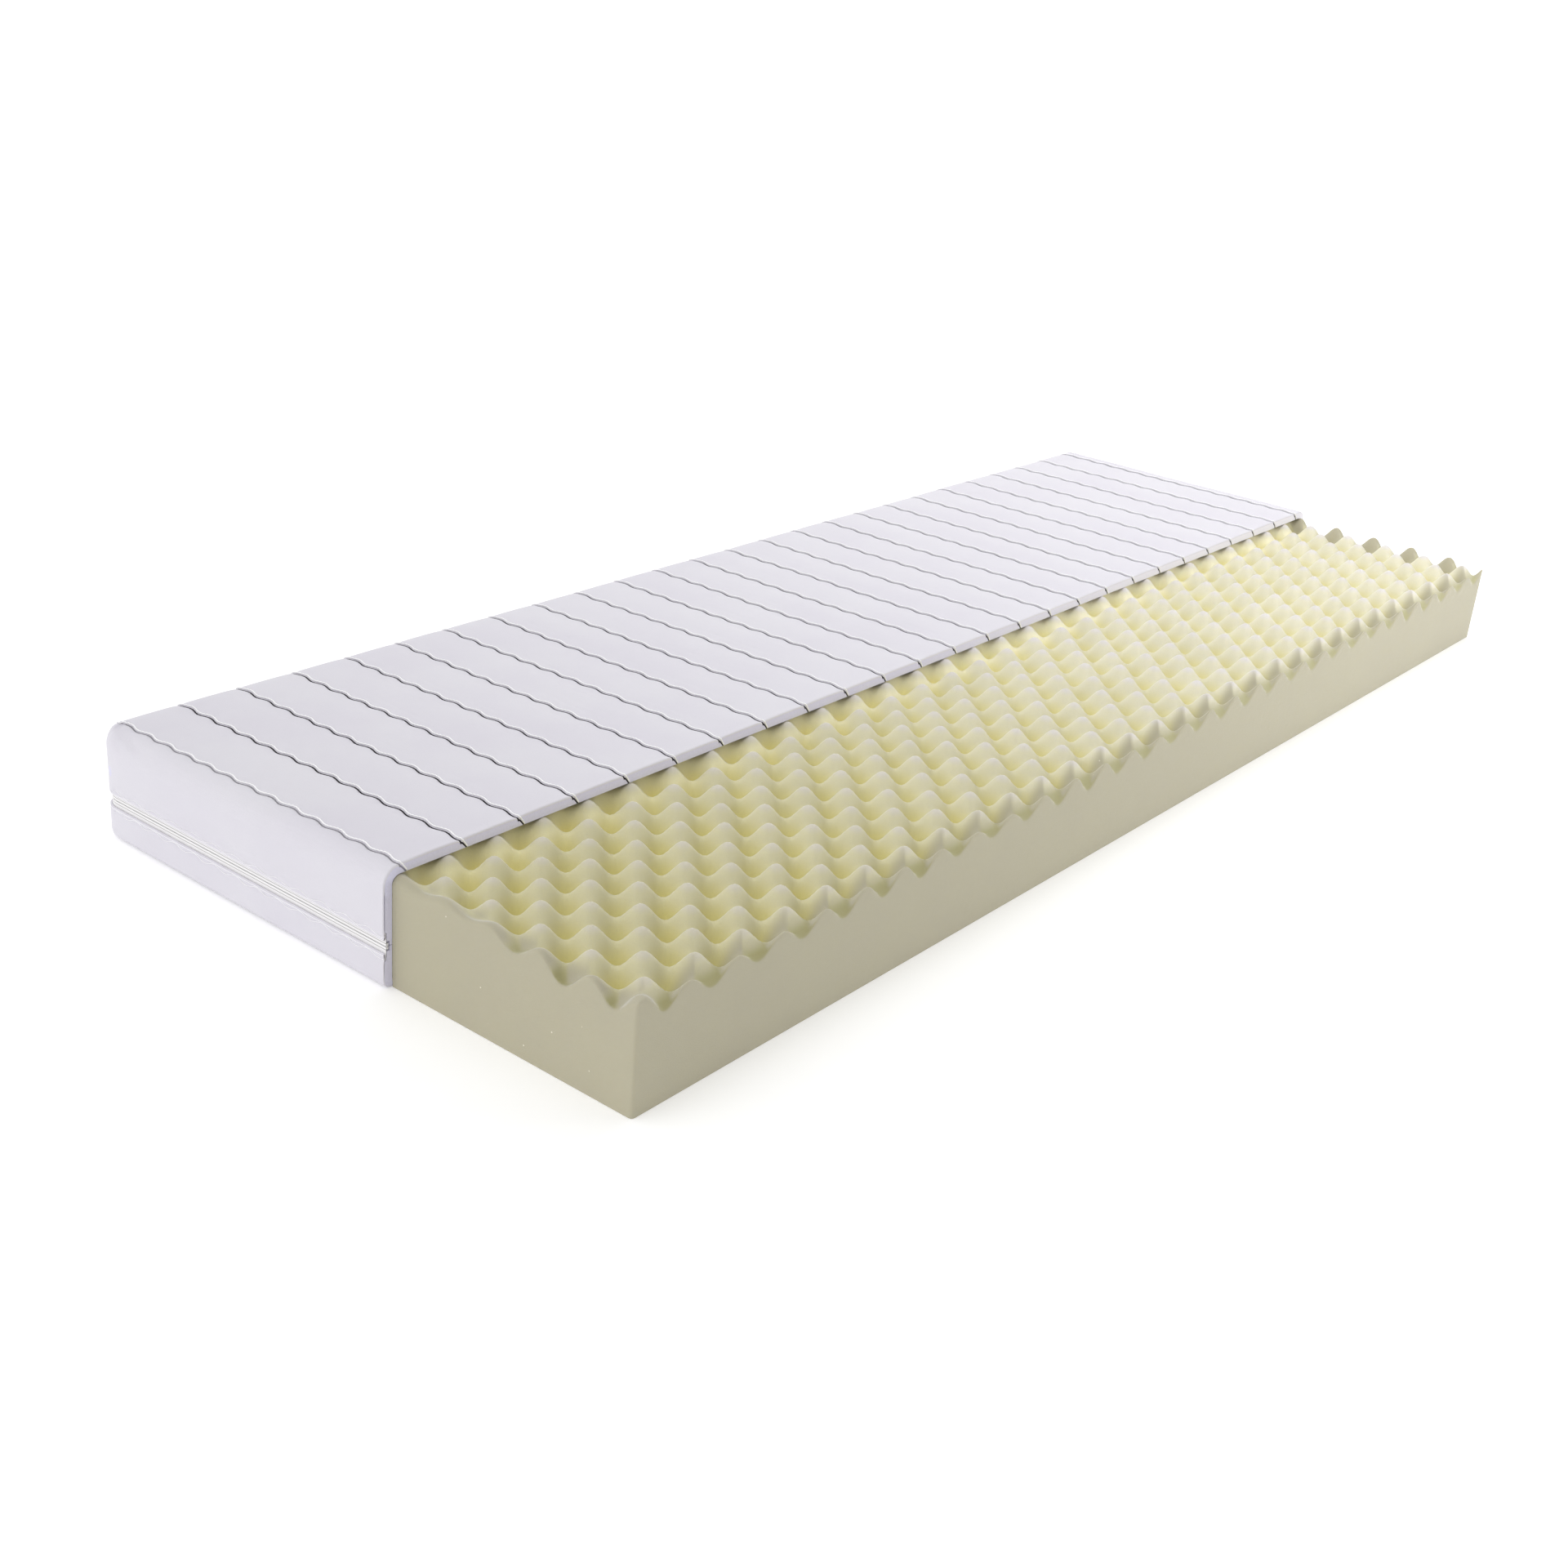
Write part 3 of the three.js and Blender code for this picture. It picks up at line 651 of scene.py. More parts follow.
TAPE_RIB = 3.4  # from the slit to the line where each tape holds its coil
# painted shade along the joint where each tape holds its coil
PAINTED_RIB_SHADE_COLOUR = (0.42, 0.41, 0.40, 1)
TAPE_WEAVE = (0.0011, 0.0018)  # size of the herringbone along and across the tape, in metres


def zip_tape():
    material, shader = new_material("Woven zip tape")
    xyz = axes(place_of(shader))
    run = maths("ADD", xyz[0], xyz[1])
    across = times(xyz[2], 2 * math.pi / TAPE_WEAVE[1])
    slant = maths("ABSOLUTE", maths("SINE", across))
    turns = times(run, 2 * math.pi / TAPE_WEAVE[0])
    phase = maths("ADD", turns, times(slant, 3.0))
    weave = maths("MULTIPLY_ADD", maths("SINE", phase), 0.5, 0.5)
    colour = mix(weave, (0.86, 0.85, 0.85, 1), (0.88, 0.87, 0.87, 1))
    reach = maths("ABSOLUTE", maths("SUBTRACT", xyz[2], ZIP * MM))
    rib = maths("ABSOLUTE", maths("SUBTRACT", reach, TAPE_RIB * MM))
    # painted shade: a dark line where each tape holds its coil
    colour = mix(remap(rib, 0.0002, 0.0006, 1, 0), colour, PAINTED_RIB_SHADE_COLOUR)
    fill(shader, {"Base Color": colour, "Roughness": 0.8, "Sheen Weight": 0.2})
    bump(shader, weave, 0.00006)
    return material


def zip_coil():
    material, shader = new_material("Nylon zip coil")
    tone = noise(place_of(shader), 400, 2)
    colour = mix(tone, (0.62, 0.61, 0.61, 1), (0.76, 0.755, 0.75, 1))
    fill(shader, {"Base Color": colour, "Roughness": remap(tone, 0.3, 0.7, 0.32, 0.5)})
    bump(shader, tone, 0.00005)
    return material


def white_metal():
    """Sprayed zinc: a hard white paint, with a little wear in its tone and gloss."""
    material, shader = new_material("White sprayed metal")
    place = place_of(shader)
    wear = noise(place, 500, 4, 0.6)
    colour = mix(remap(wear, 0.55, 0.75), (0.80, 0.795, 0.79, 1), (0.60, 0.60, 0.60, 1))
    fill(shader, {
        "Base Color": colour, "Roughness": remap(wear, 0.3, 0.8, 0.28, 0.5),
        "Coat Weight": 0.3, "Coat Roughness": 0.2,
    })
    bump(shader, noise(place, 1500, 2), 0.00003)
    return material


MATERIALS = {
    "cover_fabric": cover_fabric(),
    "wadding": padding("Fibre wadding", 420, 0.0003),
    "backing": padding("Backing fleece", 260, 0.0005),
    "foam": foam(),
    "thread": sewing_thread(),
    "zip_tape": zip_tape(),
    "zip_coil": zip_coil(),
    "zip_metal": white_metal(),
}

# ------------ the cover's layers


SLIT = 0.3  # from the middle of the zip to the layers' edges
CHANNEL_END = 5.3  # the wadding is hollowed out for the coils this far from the middle
TAPE_END = 14.4  # and for the tapes this far
TAPE_BACK = 5.3  # depth of the hollow for the tapes
COIL_BACK = 8.8  # and of the one for the coils
FLATTENED = 20  # the wadding's quilting fades over this length of the skirt
SUNK = 0.4  # and the wadding's skirt lies this far inside the face fabric


def wadding_skirt(half, rows):
    """The wadding's outer surface on the skirt, with its hollows for the tape and the coil."""
    side = half.sign
    tape_end = ZIP + side * TAPE_END
    channel_end = ZIP + side * CHANNEL_END
    outside = [
        (WADDING[0], half.skirt_zs[0]), (WADDING[0], tape_end + side * 2.2), (TAPE_BACK, tape_end),
        (TAPE_BACK, channel_end), (COIL_BACK, channel_end - side * 0.1), (COIL_BACK, ZIP + side * SLIT),
    ]
    return spaced(outside, rows)


def cover_layers(half, depths, swelling):
    """Face fabric, wadding and backing of one half. depths are the layers' depths on the panel."""
    net = half.net
    pads = half.pads(*net.at)
    rows = len(half.skirt_zs) + HEM_ROWS

    def straight(depth):
        return spaced([(depth, half.skirt_zs[0]), (depth, ZIP + half.sign * SLIT)], rows)

    swell = swelling.at(half.place(*net.at, half.outer, pads))
    face = half.layer(
        "face", "cover_fabric", half.outer,
        half.profile(FACE[1], depths["face"], folded_hem(half, FACE[1] - FACE[0])),
        pads, pads, (swell, swell),
    )
    kept = [*net.at[:4], np.minimum(net.t, half.turn_t + FLATTENED)]
    fade = 1 - smooth(net.t, half.turn_t, half.turn_t + FLATTENED)
    wadding = half.layer(
        "padding", "wadding",
        half.profile(WADDING[0], depths["wadding"][0], wadding_skirt(half, rows)),
        half.profile(WADDING[1], depths["wadding"][1], straight(WADDING[1])),
        half.pads(*kept) * fade - SUNK * (1 - fade), swell=(swell * fade[:, None], 0),
    )
    backing = half.layer(
        "fleece", "backing",
        *(half.profile(BACKING[i], depths["backing"][i], straight(BACKING[i])) for i in (0, 1)),
    )
    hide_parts(f"{half.name}_cover_face_fabric")
    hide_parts(f"{half.name}_cover_wadding")
    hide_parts(f"{half.name}_cover_backing")
    return face, wadding, backing


SWELL_LIMIT = 3.0  # mm that the simulation may move a point
SIMULATED_FRAMES = 20


class Swelling:
    """How far the simulated face fabric moved, at points on or near it."""

    def __init__(self, rest, faces, moved):
        self.moved = moved
        self.faces = faces
        self.rest = [Vector(p) for p in rest]
        self.tree = BVHTree.FromPolygons(self.rest, faces)

    def at(self, points):
        found = np.zeros((len(points), 3))
        for i, point in enumerate(points):
            place, _, face, _ = self.tree.find_nearest(Vector(point))
            corners = self.faces[face]
            weights = poly_3d_calc([self.rest[c] for c in corners], place)
            found[i] = np.dot(weights, self.moved[corners])
        return found


class Unmoved:
    def at(self, points):
        return np.zeros((len(points), 3))


def held_points(half):
    """Weights of the simulated fabric: 1 where it is sewn down, at the hem, seams and cut."""
    net = half.net
    _, distance, sewn = half.lines(*net.at)
    held = (1 - smooth(abs(distance), 1, 3.5)) * np.minimum(sewn * 2, 1)
    held = np.maximum(held, smooth(net.t, half.hem_t - 12, half.hem_t - 4))
    held = np.maximum(held, 1 - smooth(CUT - net.x, 0, 9))
    z = np.interp(net.t, half.ts, half.outer["z"])
    for end, line_z in half.skirt_lines:
        held = np.maximum(held, (net.uy * end > 0.7) * (abs(z - line_z) < 3))
    return held


def swell_fabric():
    """Cloth simulation of the upper half's face fabric. The filling presses it out between the
    lines where it is sewn down."""
    half = simulated_half()
    net = half.net
    rest = half.place(*net.at, half.outer, half.pads(*net.at))
    mesh = bpy.data.meshes.new("simulated_fabric")
    mesh.from_pydata((rest * MM).tolist(), [], net.faces)
    fabric = bpy.data.objects.new("simulated_fabric", mesh)
    bpy.context.scene.collection.objects.link(fabric)
    group = fabric.vertex_groups.new(name="held")
    for i, weight in enumerate(held_points(half)):
        group.add([i], float(weight), "REPLACE")
    set_cloth(fabric.modifiers.new("cloth", "CLOTH"))
    for number in range(1, SIMULATED_FRAMES + 1):
        bpy.context.scene.frame_set(number)
    shaped = fabric.evaluated_get(bpy.context.evaluated_depsgraph_get()).to_mesh()
    places = np.zeros(len(rest) * 3, np.float32)
    shaped.vertices.foreach_get("co", places)
    moved = places.reshape(-1, 3) / MM - rest
    length = np.linalg.norm(moved, axis=1)[:, None]
    moved = moved * np.minimum(1, SWELL_LIMIT / np.maximum(length, 1e-6))
    bpy.data.objects.remove(fabric)
    bpy.data.meshes.remove(mesh)
    bpy.context.scene.frame_set(1)
    print("swelling in mm: mean", round(float(length.mean()), 2), "most", round(float(length.max()), 2))
    return Swelling(rest, net.faces, moved)


CLOTH = {
    "quality": 6, "mass": 0.3, "tension_stiffness": 15, "compression_stiffness": 15,
    "shear_stiffness": 8, "bending_stiffness": 0.5, "tension_damping": 10, "air_damping": 2,
    "use_pressure": True, "uniform_pressure_force": 4, "vertex_group_mass": "held",
}


def set_cloth(cloth):
    for key, value in CLOTH.items():
        setattr(cloth.settings, key, value)
    cloth.settings.effector_weights.gravity = 0
    cloth.collision_settings.use_collision = False
    cloth.point_cache.frame_start = 1
    cloth.point_cache.frame_end = SIMULATED_FRAMES


swelling = swell_fabric()
upper = upper_half()
lower = lower_half()
UPPER_DEPTHS = {"face": FACE[1], "wadding": WADDING, "backing": BACKING}
LOWER_DEPTHS = {"face": 1.3, "wadding": (1.35, 5), "backing": (5.3, 6)}
upper_layers = cover_layers(upper, UPPER_DEPTHS, swelling)
lower_layers = cover_layers(lower, LOWER_DEPTHS, Unmoved())

# ------------ threads

TUBE_SIDES = 5
ROW_RADIUS = 0.3  # of the threads along the skirts


def tube(points, normals, radii):
    """A closed tube with flat ends along a line of points."""
    along = np.gradient(points, axis=0)
    along /= np.linalg.norm(along, axis=1)[:, None]
    side = np.cross(along, normals)
    side /= np.linalg.norm(side, axis=1)[:, None]
    up = np.cross(side, along)
    rings = []
    for i in range(TUBE_SIDES):
        angle = 2 * math.pi * i / TUBE_SIDES
        rings.append(points + radii[:, None] * (math.cos(angle) * up + math.sin(angle) * side))
    vertices = np.stack(rings, 1).reshape(-1, 3)
    faces = []
    count = len(points)
    for ring in range(0, (count - 1) * TUBE_SIDES, TUBE_SIDES):
        for i in range(TUBE_SIDES):
            a, b = ring + i, ring + (i + 1) % TUBE_SIDES
            faces.append([a, b, b + TUBE_SIDES, a + TUBE_SIDES])
    faces.append(list(range(TUBE_SIDES))[::-1])
    faces.append([(count - 1) * TUBE_SIDES + i for i in range(TUBE_SIDES)])
    return vertices, faces


def stitched(points, normals, stitch, radius):
    """Lifts a thread between the stitches and sinks it where the needle went in."""
    steps = np.linalg.norm(np.diff(points, axis=0), axis=1)
    run = np.concatenate([[0], np.cumsum(steps)])
    arch = abs(np.sin(math.pi * run / stitch)) ** 0.5
    lifted = points + normals * ((arch - 0.55) * radius)[:, None]
    return tube(lifted, normals, radius * (0.75 + 0.25 * arch))


def on_fabric(half, at, height):
    """A point of the face fabric's outer surface raised by height, and the normal there."""
    relief = half.pads(*at)
    points = half.place(*at, half.outer, relief + height)
    normals = half.place(*at, half.outer, relief + height + 1) - points
    if half.up:
        points = points + swelling.at(half.place(*at, half.outer, relief))
    return points, normals


def line_parameters(line):
    """The net's parameters along one quilting thread, from the cut to the end of the skirt."""
    last_t = upper.turn_t + upper.skirt_start - (upper.seam + 1.5)
    s = np.arange(0.3, PANEL_WIDTH + last_t, 1.0)
    y = LINES[line] + wave(s) + THREAD_OFFSET
    beyond = np.maximum(s - PANEL_WIDTH, 0)
    excess = np.maximum(INNER_FOOT - y, 0)
    x = CUT - np.minimum(s, PANEL_WIDTH)
    t = np.hypot(beyond, excess)
    reach = np.interp(t, upper.ts, upper.outer["offset"])
    sine = np.clip(excess / np.maximum(reach, 1e-6), 0, 1)
    uy = np.where(excess > 0, -sine, 0)
    ux = np.where(beyond > 0, -np.sqrt(1 - uy**2), 0)
    uy = np.where((beyond <= 0) & (excess > 0), -1, uy)
    return x, np.maximum(y, INNER_FOOT), ux, uy, t


def over_the_cut(points, normals):
    """Starts a thread at the cut's inner edge, so that it crosses the layers' cut face."""
    first = points[0]
    down = np.linspace(TOP - first[2], WADDING[1], 9)[::-1]
    x = CUT + 0.2 + 0 * down
    y = first[1] + CUT_SLANT * (down - down[-1])
    face = np.stack([x, y, TOP - down], 1)
    out = np.tile([1.0, 0, 0], (len(face), 1))
    return np.concatenate([face, points]), np.concatenate([out, normals])


def quilting_threads():
    for line, name in enumerate(THREADS):
        at = line_parameters(line)
        radius = THREAD_RADIUS * (1 - THINNER_SIDE * smooth(at[4], upper.flat, upper.turn_t))
        points, normals = over_the_cut(*on_fabric(upper, at, radius))
        radius = np.concatenate([np.full(len(points) - len(radius), THREAD_RADIUS), radius])
        vertices, faces = stitched(points, normals, STITCH, radius)
        piece = make_mesh(name.replace("thread", "stitches"), vertices, faces, "upper_cover", "thread")
        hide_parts(name)


def sew(half, at, height, stitch, radius, name, node_name):
    """A row of stitches along a line given in the net's parameters."""
    points, normals = on_fabric(half, at, height)
    vertices, faces = stitched(points, normals, stitch, radius)
    piece = make_mesh(name, vertices, faces, BODIES[half.name], "thread")
    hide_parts(node_name)


def inner_y(end):
    return INNER_FOOT if end < 0 else INNER_HEAD


def skirt_row(half, end, row):
    """A wavy line of stitches along the foot skirt or the head skirt."""
    s = np.arange(0.3, PANEL_WIDTH, 0.9)
    t = half.t_at(middle(f"{row}_thread")[2] + SKIRT_WAVE * wave(s))
    at = (CUT - s, inner_y(end) + 0 * s, 0 * s, end + 0 * s, t)
    sew(half, at, 0.8 * ROW_RADIUS, 3.6, ROW_RADIUS, f"{row}_stitches", f"{row}_thread")


def outline(depth, step):
    """Points of the covered sides' outline at a depth, from the foot cut to the head cut, with
    directions outwards, evenly spaced."""
    quarter = math.pi / 2 * (CORNER - depth)
    foot, head = INNER_FOOT, INNER_HEAD
    legs = (  # length, start, how far it runs, direction at the start, and what it turns to
        (PANEL_WIDTH, (CUT, foot), (-PANEL_WIDTH, 0), (0, -1), None),
        (quarter, (INNER_X, foot), (0, 0), (0, -1), (-1, 0)),
        (head - foot, (INNER_X, foot), (0, head - foot), (-1, 0), None),
        (quarter, (INNER_X, head), (0, 0), (-1, 0), (0, 1)),
        (PANEL_WIDTH, (INNER_X, head), (PANEL_WIDTH, 0), (0, 1), None),
    )
    ends = np.cumsum([0, *(leg[0] for leg in legs)])
    run = np.arange(0.3, ends[-1] - 0.3, step)
    places, ways = np.zeros((2, len(run))), np.zeros((2, len(run)))
    for low, high, (_, start, reach, way, turned) in zip(ends, ends[1:], legs):
        on = (run >= low) & (run < high)
        share = (run[on] - low) / (high - low)
        turn = share * math.pi / 2
        for i in (0, 1):
            places[i, on] = start[i] + share * reach[i]
            ways[i, on] = way[i] * np.cos(turn) + turned[i] * np.sin(turn) if turned else way[i]
    return *places, *ways


def zip_seam(half):
    x, y, ux, uy = outline(FACE[0], 0.8)
    at = (x, y, ux, uy, half.t_at(half.seam) + 0 * x)
    sew(half, at, 0.2, 2.8, 0.3, f"{half.name}_zip_seam_stitches", f"{half.name}_zip_seam_thread")


def corner_seam(half, end, node_name):
    """The closed dart at a vertical corner: a close row of small stitches."""
    low, high = box(node_name)[0][2], box(node_name)[1][2]
    z = np.arange(low, high, 0.6)
    slope = math.sqrt(0.5)
    at = (INNER_X + 0 * z, inner_y(end) + 0 * z, -slope + 0 * z, end * slope + 0 * z, half.t_at(z))
    sew(half, at, 0.2, 2.4, 0.28, node_name.replace("seam", "stitching"), node_name)


quilting_threads()
for half in (upper, lower):
    for end, row in SKIRT_ROWS[half.name]:
        skirt_row(half, end, row)
for half in (upper, lower):
    zip_seam(half)
for end, place in ((-1, "foot"), (1, "head")):
    for half in (upper, lower):
        corner_seam(half, end, f"{half.name}_{place}_corner_seam")

# ------------ zip

TOOTH_PITCH = 1.6
TOOTH_WIDTH = 1.54
COIL_DEPTH = 5.25
TOOTH_SECTION = [(0.3, 0.1), (3.2, 0), (3.2, 1.9), (2.4, 1.9), (0.3, 1.5)]  # reach from the slit, depth


def coil(half):
    """Loops of nylon, one beside the other, each a short arch from the tape to the slit."""
    side = half.sign
    x, y, ux, uy = outline(COIL_DEPTH, TOOTH_PITCH)
    along = np.stack([uy, -ux, 0 * ux], 1)
    out = np.stack([ux, uy, 0 * ux], 1)
    origin = np.stack([x, y, ZIP + 0 * x], 1)
    vertices, faces = [], []
    for width in (-TOOTH_WIDTH / 2, TOOTH_WIDTH / 2):
        for reach, inward in TOOTH_SECTION:
            point = origin + along * width + out * (CORNER - COIL_DEPTH - inward)
            vertices.append(point + np.array([0, 0, side * reach]))
    n = len(TOOTH_SECTION)
    for base in range(0, len(x) * 2 * n, 2 * n):
        first = [base + i for i in range(n)]
        second = [base + n + i for i in range(n)]
        tooth = [first[::-1], second]
        for i in range(n):
            j = (i + 1) % n
            tooth.append([first[i], first[j], second[j], second[i]])
        faces += tooth if side > 0 else [face[::-1] for face in tooth]
    points = np.stack(vertices, 1).reshape(-1, 3)
    name = f"{half.name}_zip_teeth"
    piece = make_mesh(name, points, faces, BODIES[half.name], "zip_coil", sharp=30)
    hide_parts(f"{half.name}_zip_coil")


coil(upper)
coil(lower)

for name, slot in (
    ("upper_zip_tape", "zip_tape"), ("lower_zip_tape", "zip_tape"),
    ("zip_slider_body", "zip_metal"), ("zip_pull_tab", "zip_metal"),
):
    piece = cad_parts[name]
    piece.data.materials.clear()
    piece.data.materials.append(MATERIALS[slot])
    if slot == "zip_metal":
        edges = piece.modifiers.new("worn edges", "BEVEL")
        edges.width = 0.15 * MM
        edges.segments = 2
        edges.limit_method = "ANGLE"

# ------------ foam core

CELL_X = 64.6
CELL_Y = 65.8
PEAK_TO_PIT = 33
PEAK_FROM_SIDE = 25
PEAK_FROM_FOOT = 35
FINE_CELL = 3.5  # spacing of the grid where the foam is bare
COARSE_CELL = 6.6
RIM = 3  # radius of the cut edges
SOFTER_RIM = 8  # what is added to it at the foot, next to the cover
BARE_CORNER = 4
RECESS = 6.3  # the covered part stands on the lower cover
RECESS_EDGE = CUT + 0.3
COVERED_EDGE = TOP_EDGE - 12.3
COVERED_CORNER = CORNER - 12.3


def grid_lines(axis, values):
    """The grid's lines along an axis, with close ones inside both ends for the rounded rim."""
    low, high = CORE_LOW[axis], CORE_HIGH[axis]
    inner = [v for v in values if low + 6.5 < v < high - 6.5]
    near = [0, 0.4, 1.1, 2.1, 3.4, 5]
    return np.array([low + n for n in near] + inner + [high - n for n in reversed(near)])


def relief_of(x, y):
    """Depth below the peaks, in shares of peak to pit: a checkerboard of peaks and pits."""
    drift_x = 1.6 * np.sin(x / 83 + 2 * np.sin(y / 140)) + 0.8 * np.sin(y / 53)
    drift_y = 1.6 * np.sin(y / 97 + 1.7 * np.sin(x / 120) + 1) + 0.8 * np.sin(x / 47)
    turn_x = 2 * math.pi * (x + drift_x - (CORE_HIGH[0] - PEAK_FROM_SIDE)) / CELL_X
    turn_y = 2 * math.pi * (y + drift_y - (CORE_LOW[1] + PEAK_FROM_FOOT)) / CELL_Y
    return (1 - np.cos(turn_x) * np.cos(turn_y)) / 2


def bare_corner(x, y):
    """1 near the bare corner at the foot, where a ridge joins the first peak to the edge."""
    return np.exp(-((CORE_HIGH[0] - x - 8) ** 2 + (y - CORE_LOW[1] - 12) ** 2) / 14**2)


def edge_softening(x, y):
    """The convolution is shallower at the cut sides, most of all at the foot next to the cover,
    and the cover presses on it."""
    at_foot = 0.1 + 0.55 * smooth(x, 150, 300)
    foot = at_foot + (1 - at_foot) * smooth(y - CORE_LOW[1], 0, 40)
    side = 0.88 + 0.12 * smooth(CORE_HIGH[0] - x, 0, 26)
    pressed = 0.4 + 0.6 * smooth(x, CUT - 18, CUT + 9)
    return foot * side * pressed * (1 - 0.85 * bare_corner(x, y))


def foam_height(x, y):
    uneven = 1 + 0.05 * np.sin(x / 31 + y / 57) * np.sin(y / 43 - x / 71)
    depth = relief_of(x, y) * edge_softening(x, y) * uneven
    return CORE_HIGH[2] - PEAK_TO_PIT * depth, depth


def round_corners(x, y):
    """Moves the grid's corners onto arcs."""
    for side, radius, edge_x in ((-1, COVERED_CORNER, CORE_LOW[0]), (1, BARE_CORNER, CORE_HIGH[0])):
        centre_x = edge_x - side * radius
        for end, edge_y in ((-1, CORE_LOW[1]), (1, CORE_HIGH[1])):
            centre_y = edge_y - end * radius
            a = np.maximum(side * (x - centre_x), 0)
            b = np.maximum(end * (y - centre_y), 0)
            scale = np.maximum(a, b) / np.maximum(np.hypot(a, b), 1e-9)
            x = np.where((a > 0) & (b > 0), centre_x + side * a * scale, x)
            y = np.where((a > 0) & (b > 0), centre_y + end * b * scale, y)
    return x, y


def inset(x, y):
    """Distance inwards from the core's outline."""
    plain = np.minimum.reduce([x - CORE_LOW[0], CORE_HIGH[0] - x, y - CORE_LOW[1], CORE_HIGH[1] - y])
    centre_x = CORE_LOW[0] + COVERED_CORNER
    reach_y = CORE_HIGH[1] - COVERED_CORNER
    a, b = centre_x - x, abs(y) - reach_y
    rounded = COVERED_CORNER - np.hypot(np.maximum(a, 0), np.maximum(b, 0))
    return np.where((a > 0) & (b > 0), rounded, plain)


def foam_top(xs, ys):
    """The grid of the top surface, with each point's share of depth and distance inwards."""
    x, y = round_corners(*np.meshgrid(xs, ys))
    z, depth = foam_height(x, y)
    distance = inset(x, y)
    by_cover = (1 - smooth(x, 90, 200)) * (y < 0)
    z = z - rounding(distance, RIM + SOFTER_RIM * by_cover)
    limit = CORE_HIGH[2] - rounding(distance, COVERED_EDGE) - 0.3
    z = np.where(x < RECESS_EDGE - 1, np.minimum(z, limit), z)
    return x, y, z, depth, distance


def cut_look(x, y, z, depth, distance, xs, ys):
    """1 where the foam looks like a cut face: at the rim, and on the slopes that face the foot or
    the bare side near it."""
    to_foot = np.gradient(z, ys, axis=0) + np.minimum(np.gradient(z, xs, axis=1), 0)
    outer_slopes = (1 - smooth(distance, 14, 34)) * smooth(to_foot, -0.35, 0.5)
    shoulders = (1 - smooth(distance, 5, 20)) * (1 - smooth(depth, 0.2, 0.5))
    corner = np.minimum(1.4 * bare_corner(x, y), 1)
    return np.maximum.reduce([outer_slopes, shoulders, corner, 1 - smooth(distance, 0.2, 1.5)])


def face_outwards(data):
    mesh = bmesh.new()
    mesh.from_mesh(data)
    bmesh.ops.recalc_face_normals(mesh, faces=mesh.faces)
    mesh.to_mesh(data)
    mesh.free()


def foam_core():
    bare = np.arange(RECESS_EDGE, CORE_HIGH[0], FINE_CELL).tolist()
    covered = np.arange(CORE_LOW[0], RECESS_EDGE - 3, COARSE_CELL).tolist()
    xs = grid_lines(0, covered + bare)
    ys = grid_lines(1, np.arange(CORE_LOW[1], CORE_HIGH[1], FINE_CELL).tolist())
    top = foam_top(xs, ys)
    points = np.stack(top[:3], -1).reshape(-1, 3)
    index = np.arange(len(points)).reshape(len(ys), len(xs))
    rim = [*index[0, :-1], *index[:-1, -1], *index[-1, :0:-1], *index[:0:-1, 0]]
    faces = grid_faces(len(ys), len(xs), 0, True).tolist()
    solid_points, solid_faces = close_block(points, faces, rim)
    name = "convoluted_foam_core"
    piece = make_mesh(name, solid_points, solid_faces, "lower_assembly", "foam", sharp=42)
    face_outwards(piece.data)
    walls = len(solid_points) - len(points)
    for mark, values, on_walls in (
        ("depth", top[3], 0), ("cut", cut_look(*top, xs, ys), 1), ("edge", 1 - smooth(top[4], 5, 32), 1),
    ):
        set_attribute(piece, mark, np.concatenate([values.ravel(), np.full(walls, on_walls)]))
    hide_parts("foam_core")


LOWEST_RING = 10  # height of the walls' last ring of points above the base
WALL_SHARES = (0.95, 0.65, 0.3, 0)


def close_block(points, faces, rim):
    """Walls down from the rim of the top surface, and a base with a step where the cover ends."""
    rim_points = points[rim]
    count = len(rim)
    after = [(i + 1) % count for i in range(count)]
    blocks, start, ring = [points], len(points), list(rim)
    for share in WALL_SHARES:
        level = rim_points.copy()
        level[:, 2] = LOWEST_RING + (rim_points[:, 2] - LOWEST_RING) * share
        blocks.append(level)
        below = list(range(start, start + count))
        start += count
        faces += [[ring[i], below[i], below[j], ring[j]] for i, j in enumerate(after)]
        ring = below
    feet, base = stepped_base(rim_points, ring, after, start)
    return np.concatenate([*blocks, feet]), faces + base


def stepped_base(rim_points, ring, after, start):
    """Points and faces of the base, which is higher where it stands on the lower cover."""
    covered = rim_points[:, 0] < RECESS_EDGE - 0.01
    at_step = abs(rim_points[:, 0] - RECESS_EDGE) < 0.01
    feet, faces, low, high = [], [], {}, {}
    for found, chosen, z in ((low, ~covered, 0), (high, covered | at_step, RECESS)):
        for i in np.flatnonzero(chosen):
            found[int(i)] = start + len(feet)
            feet.append([rim_points[i][0], rim_points[i][1], z])
    for i, j in enumerate(after):
        if covered[i] or covered[j]:
            faces.append([ring[i], high[i], high[j], ring[j]])
        else:
            left = [high[i]] if i in high else []
            right = [high[j]] if j in high else []
            faces.append([ring[i], *left, low[i], low[j], *right, ring[j]])
    faces += [[high[i] for i in sorted(high)], [low[i] for i in sorted(low)]]
    first, second = np.flatnonzero(at_step).tolist()
    faces.append([high[first], low[first], low[second], high[second]])
    return feet, faces


foam_core()

# ------------ floor, light and camera

FLOOR_REACH = 160


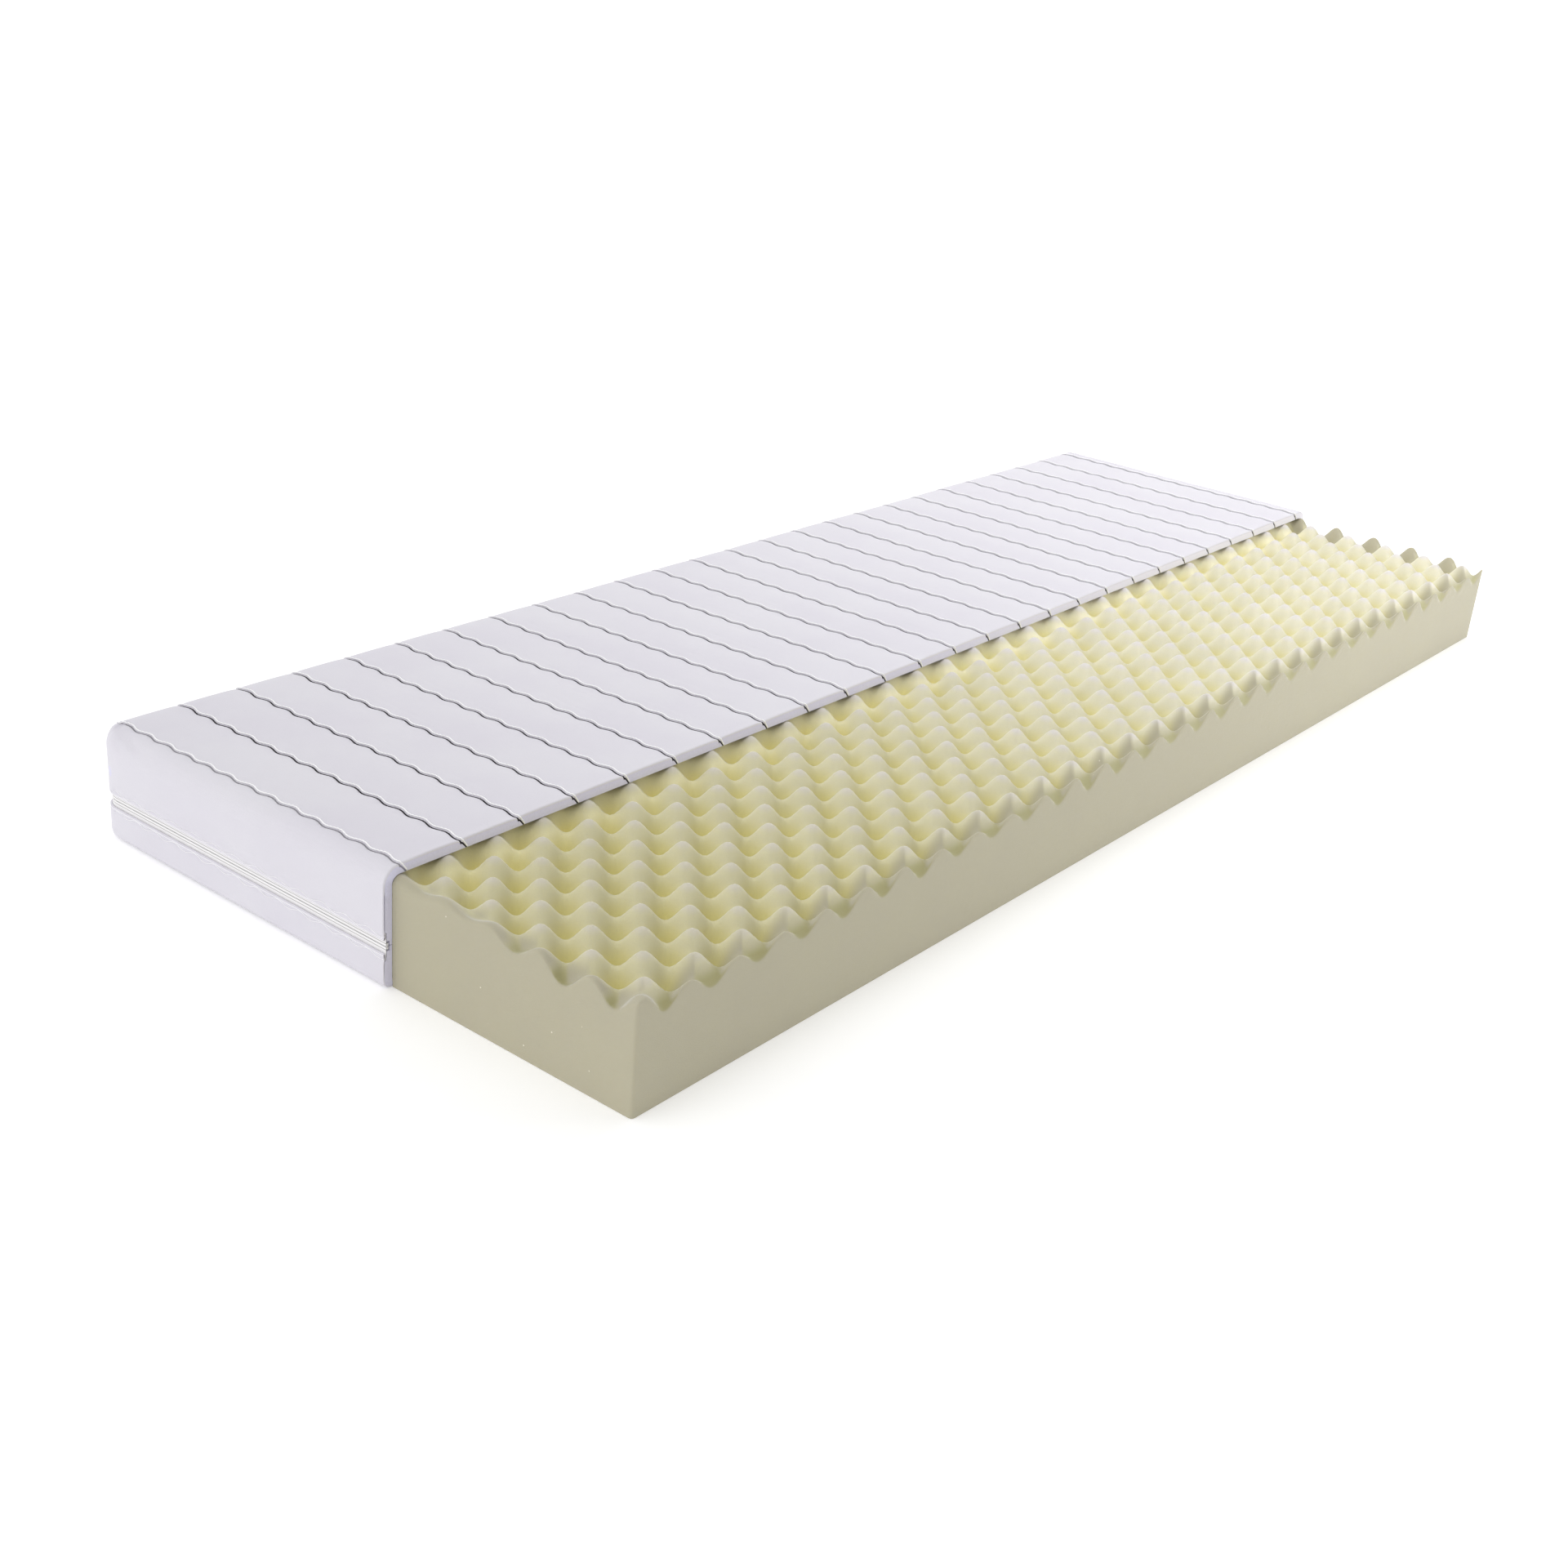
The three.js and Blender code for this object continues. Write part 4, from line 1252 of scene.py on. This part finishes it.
def make_floor():
    mesh = bpy.data.meshes.new("studio_floor")
    r = FLOOR_REACH
    mesh.from_pydata([(-r, -r, 0), (r, -r, 0), (r, r, 0), (-r, r, 0)], [], [(0, 1, 2, 3)])
    floor = bpy.data.objects.new("studio_floor", mesh)
    floor.location.z = -0.0003
    material, shader = new_material("Studio floor")
    tone = noise(place_of(shader), 0.4, 2)
    colour = mix(tone, (0.95, 0.95, 0.95, 1), (0.97, 0.97, 0.97, 1))
    far = node("ShaderNodeVectorMath", {0: place_of(shader)}, operation="LENGTH").outputs["Value"]
    fill(shader, {
        "Base Color": colour, "Roughness": 0.9, "Emission Color": (1, 1, 1, 1),
        "Emission Strength": remap(far, 1.2, 4.0, 0.16, 0.3),
    })
    mesh.materials.append(material)
    bpy.context.scene.collection.objects.link(floor)


# Strength of the surroundings: its level, and how it changes towards each side.
SKY = {"level": 1.1, "foot": 0.5, "up": -0.05, "bare_side": -1.6, "least": 0.08}


def make_world():
    """White studio surroundings: an even white near the horizon, and higher up brighter towards
    the foot and dimmer on the side that the bare foam faces."""
    world = bpy.data.worlds.new("Studio")
    bpy.context.scene.world = world
    world.use_nodes = True
    tree = world.node_tree
    xyz = axes(tree.nodes.new("ShaderNodeTexCoord").outputs["Generated"])
    low = maths("MAXIMUM", maths("MULTIPLY_ADD", xyz[2], -0.4, xyz[0]), 0)
    strength = maths("MULTIPLY_ADD", xyz[1], -SKY["foot"], SKY["level"])
    strength = maths("MULTIPLY_ADD", xyz[2], SKY["up"], strength)
    strength = maths("MULTIPLY_ADD", low, SKY["bare_side"], strength)
    strength = maths("MAXIMUM", strength, SKY["least"])
    above_horizon = remap(xyz[2], 0.15, 0.32)
    strength = maths("MULTIPLY_ADD", maths("SUBTRACT", strength, 1), above_horizon, 1)
    fill(tree.nodes["Background"], {"Strength": strength, "Color": (1, 1, 1, 1)})


def area_light(name, place, target, size, power):
    data = bpy.data.lights.new(name, "AREA")
    data.shape = "DISK"
    data.size = size
    data.energy = power
    light = bpy.data.objects.new(name, data)
    light.location = place
    light.rotation_euler = (Vector(target) - Vector(place)).to_track_quat("-Z", "Y").to_euler()
    bpy.context.scene.collection.objects.link(light)


CAMERA = {"azimuth": 37.0, "elevation": 24.02, "roll": 5.02, "distance": 2.4254, "lens": 45.09}
CAMERA_TARGET = (0.0258, -0.3192, 0.0)


def make_camera():
    azimuth, elevation, roll = (math.radians(CAMERA[k]) for k in ("azimuth", "elevation", "roll"))
    level = Vector((math.cos(azimuth), math.sin(azimuth), 0))
    level_reach = math.cos(elevation)
    back = Vector((
        math.sin(azimuth) * level_reach, -math.cos(azimuth) * level_reach, math.sin(elevation),
    ))
    above = back.cross(level)
    right = level * math.cos(roll) + above * math.sin(roll)
    up = above * math.cos(roll) - level * math.sin(roll)
    data = bpy.data.cameras.new("camera")
    data.lens = CAMERA["lens"]
    data.sensor_width = 36
    data.clip_end = 200
    camera = bpy.data.objects.new("camera", data)
    turn = Matrix((right, up, back)).transposed().to_4x4()
    camera.matrix_world = Matrix.Translation(Vector(CAMERA_TARGET) + back * CAMERA["distance"]) @ turn
    bpy.context.scene.collection.objects.link(camera)
    bpy.context.scene.camera = camera


make_floor()
make_world()
area_light("back", (-1.8, 3.4, 1.3), (0, 0, 0), 1.5, 22)
area_light("over_head_end", (0.2, 1.5, 2.2), (0.2, 0.6, 0.1), 1.2, 13)
area_light("beside_bare_foam", (1.8, 0.8, 0.5), (0.39, 0.55, 0.06), 0.8, 9)
make_camera()
bpy.context.scene.view_settings.view_transform = "Standard"
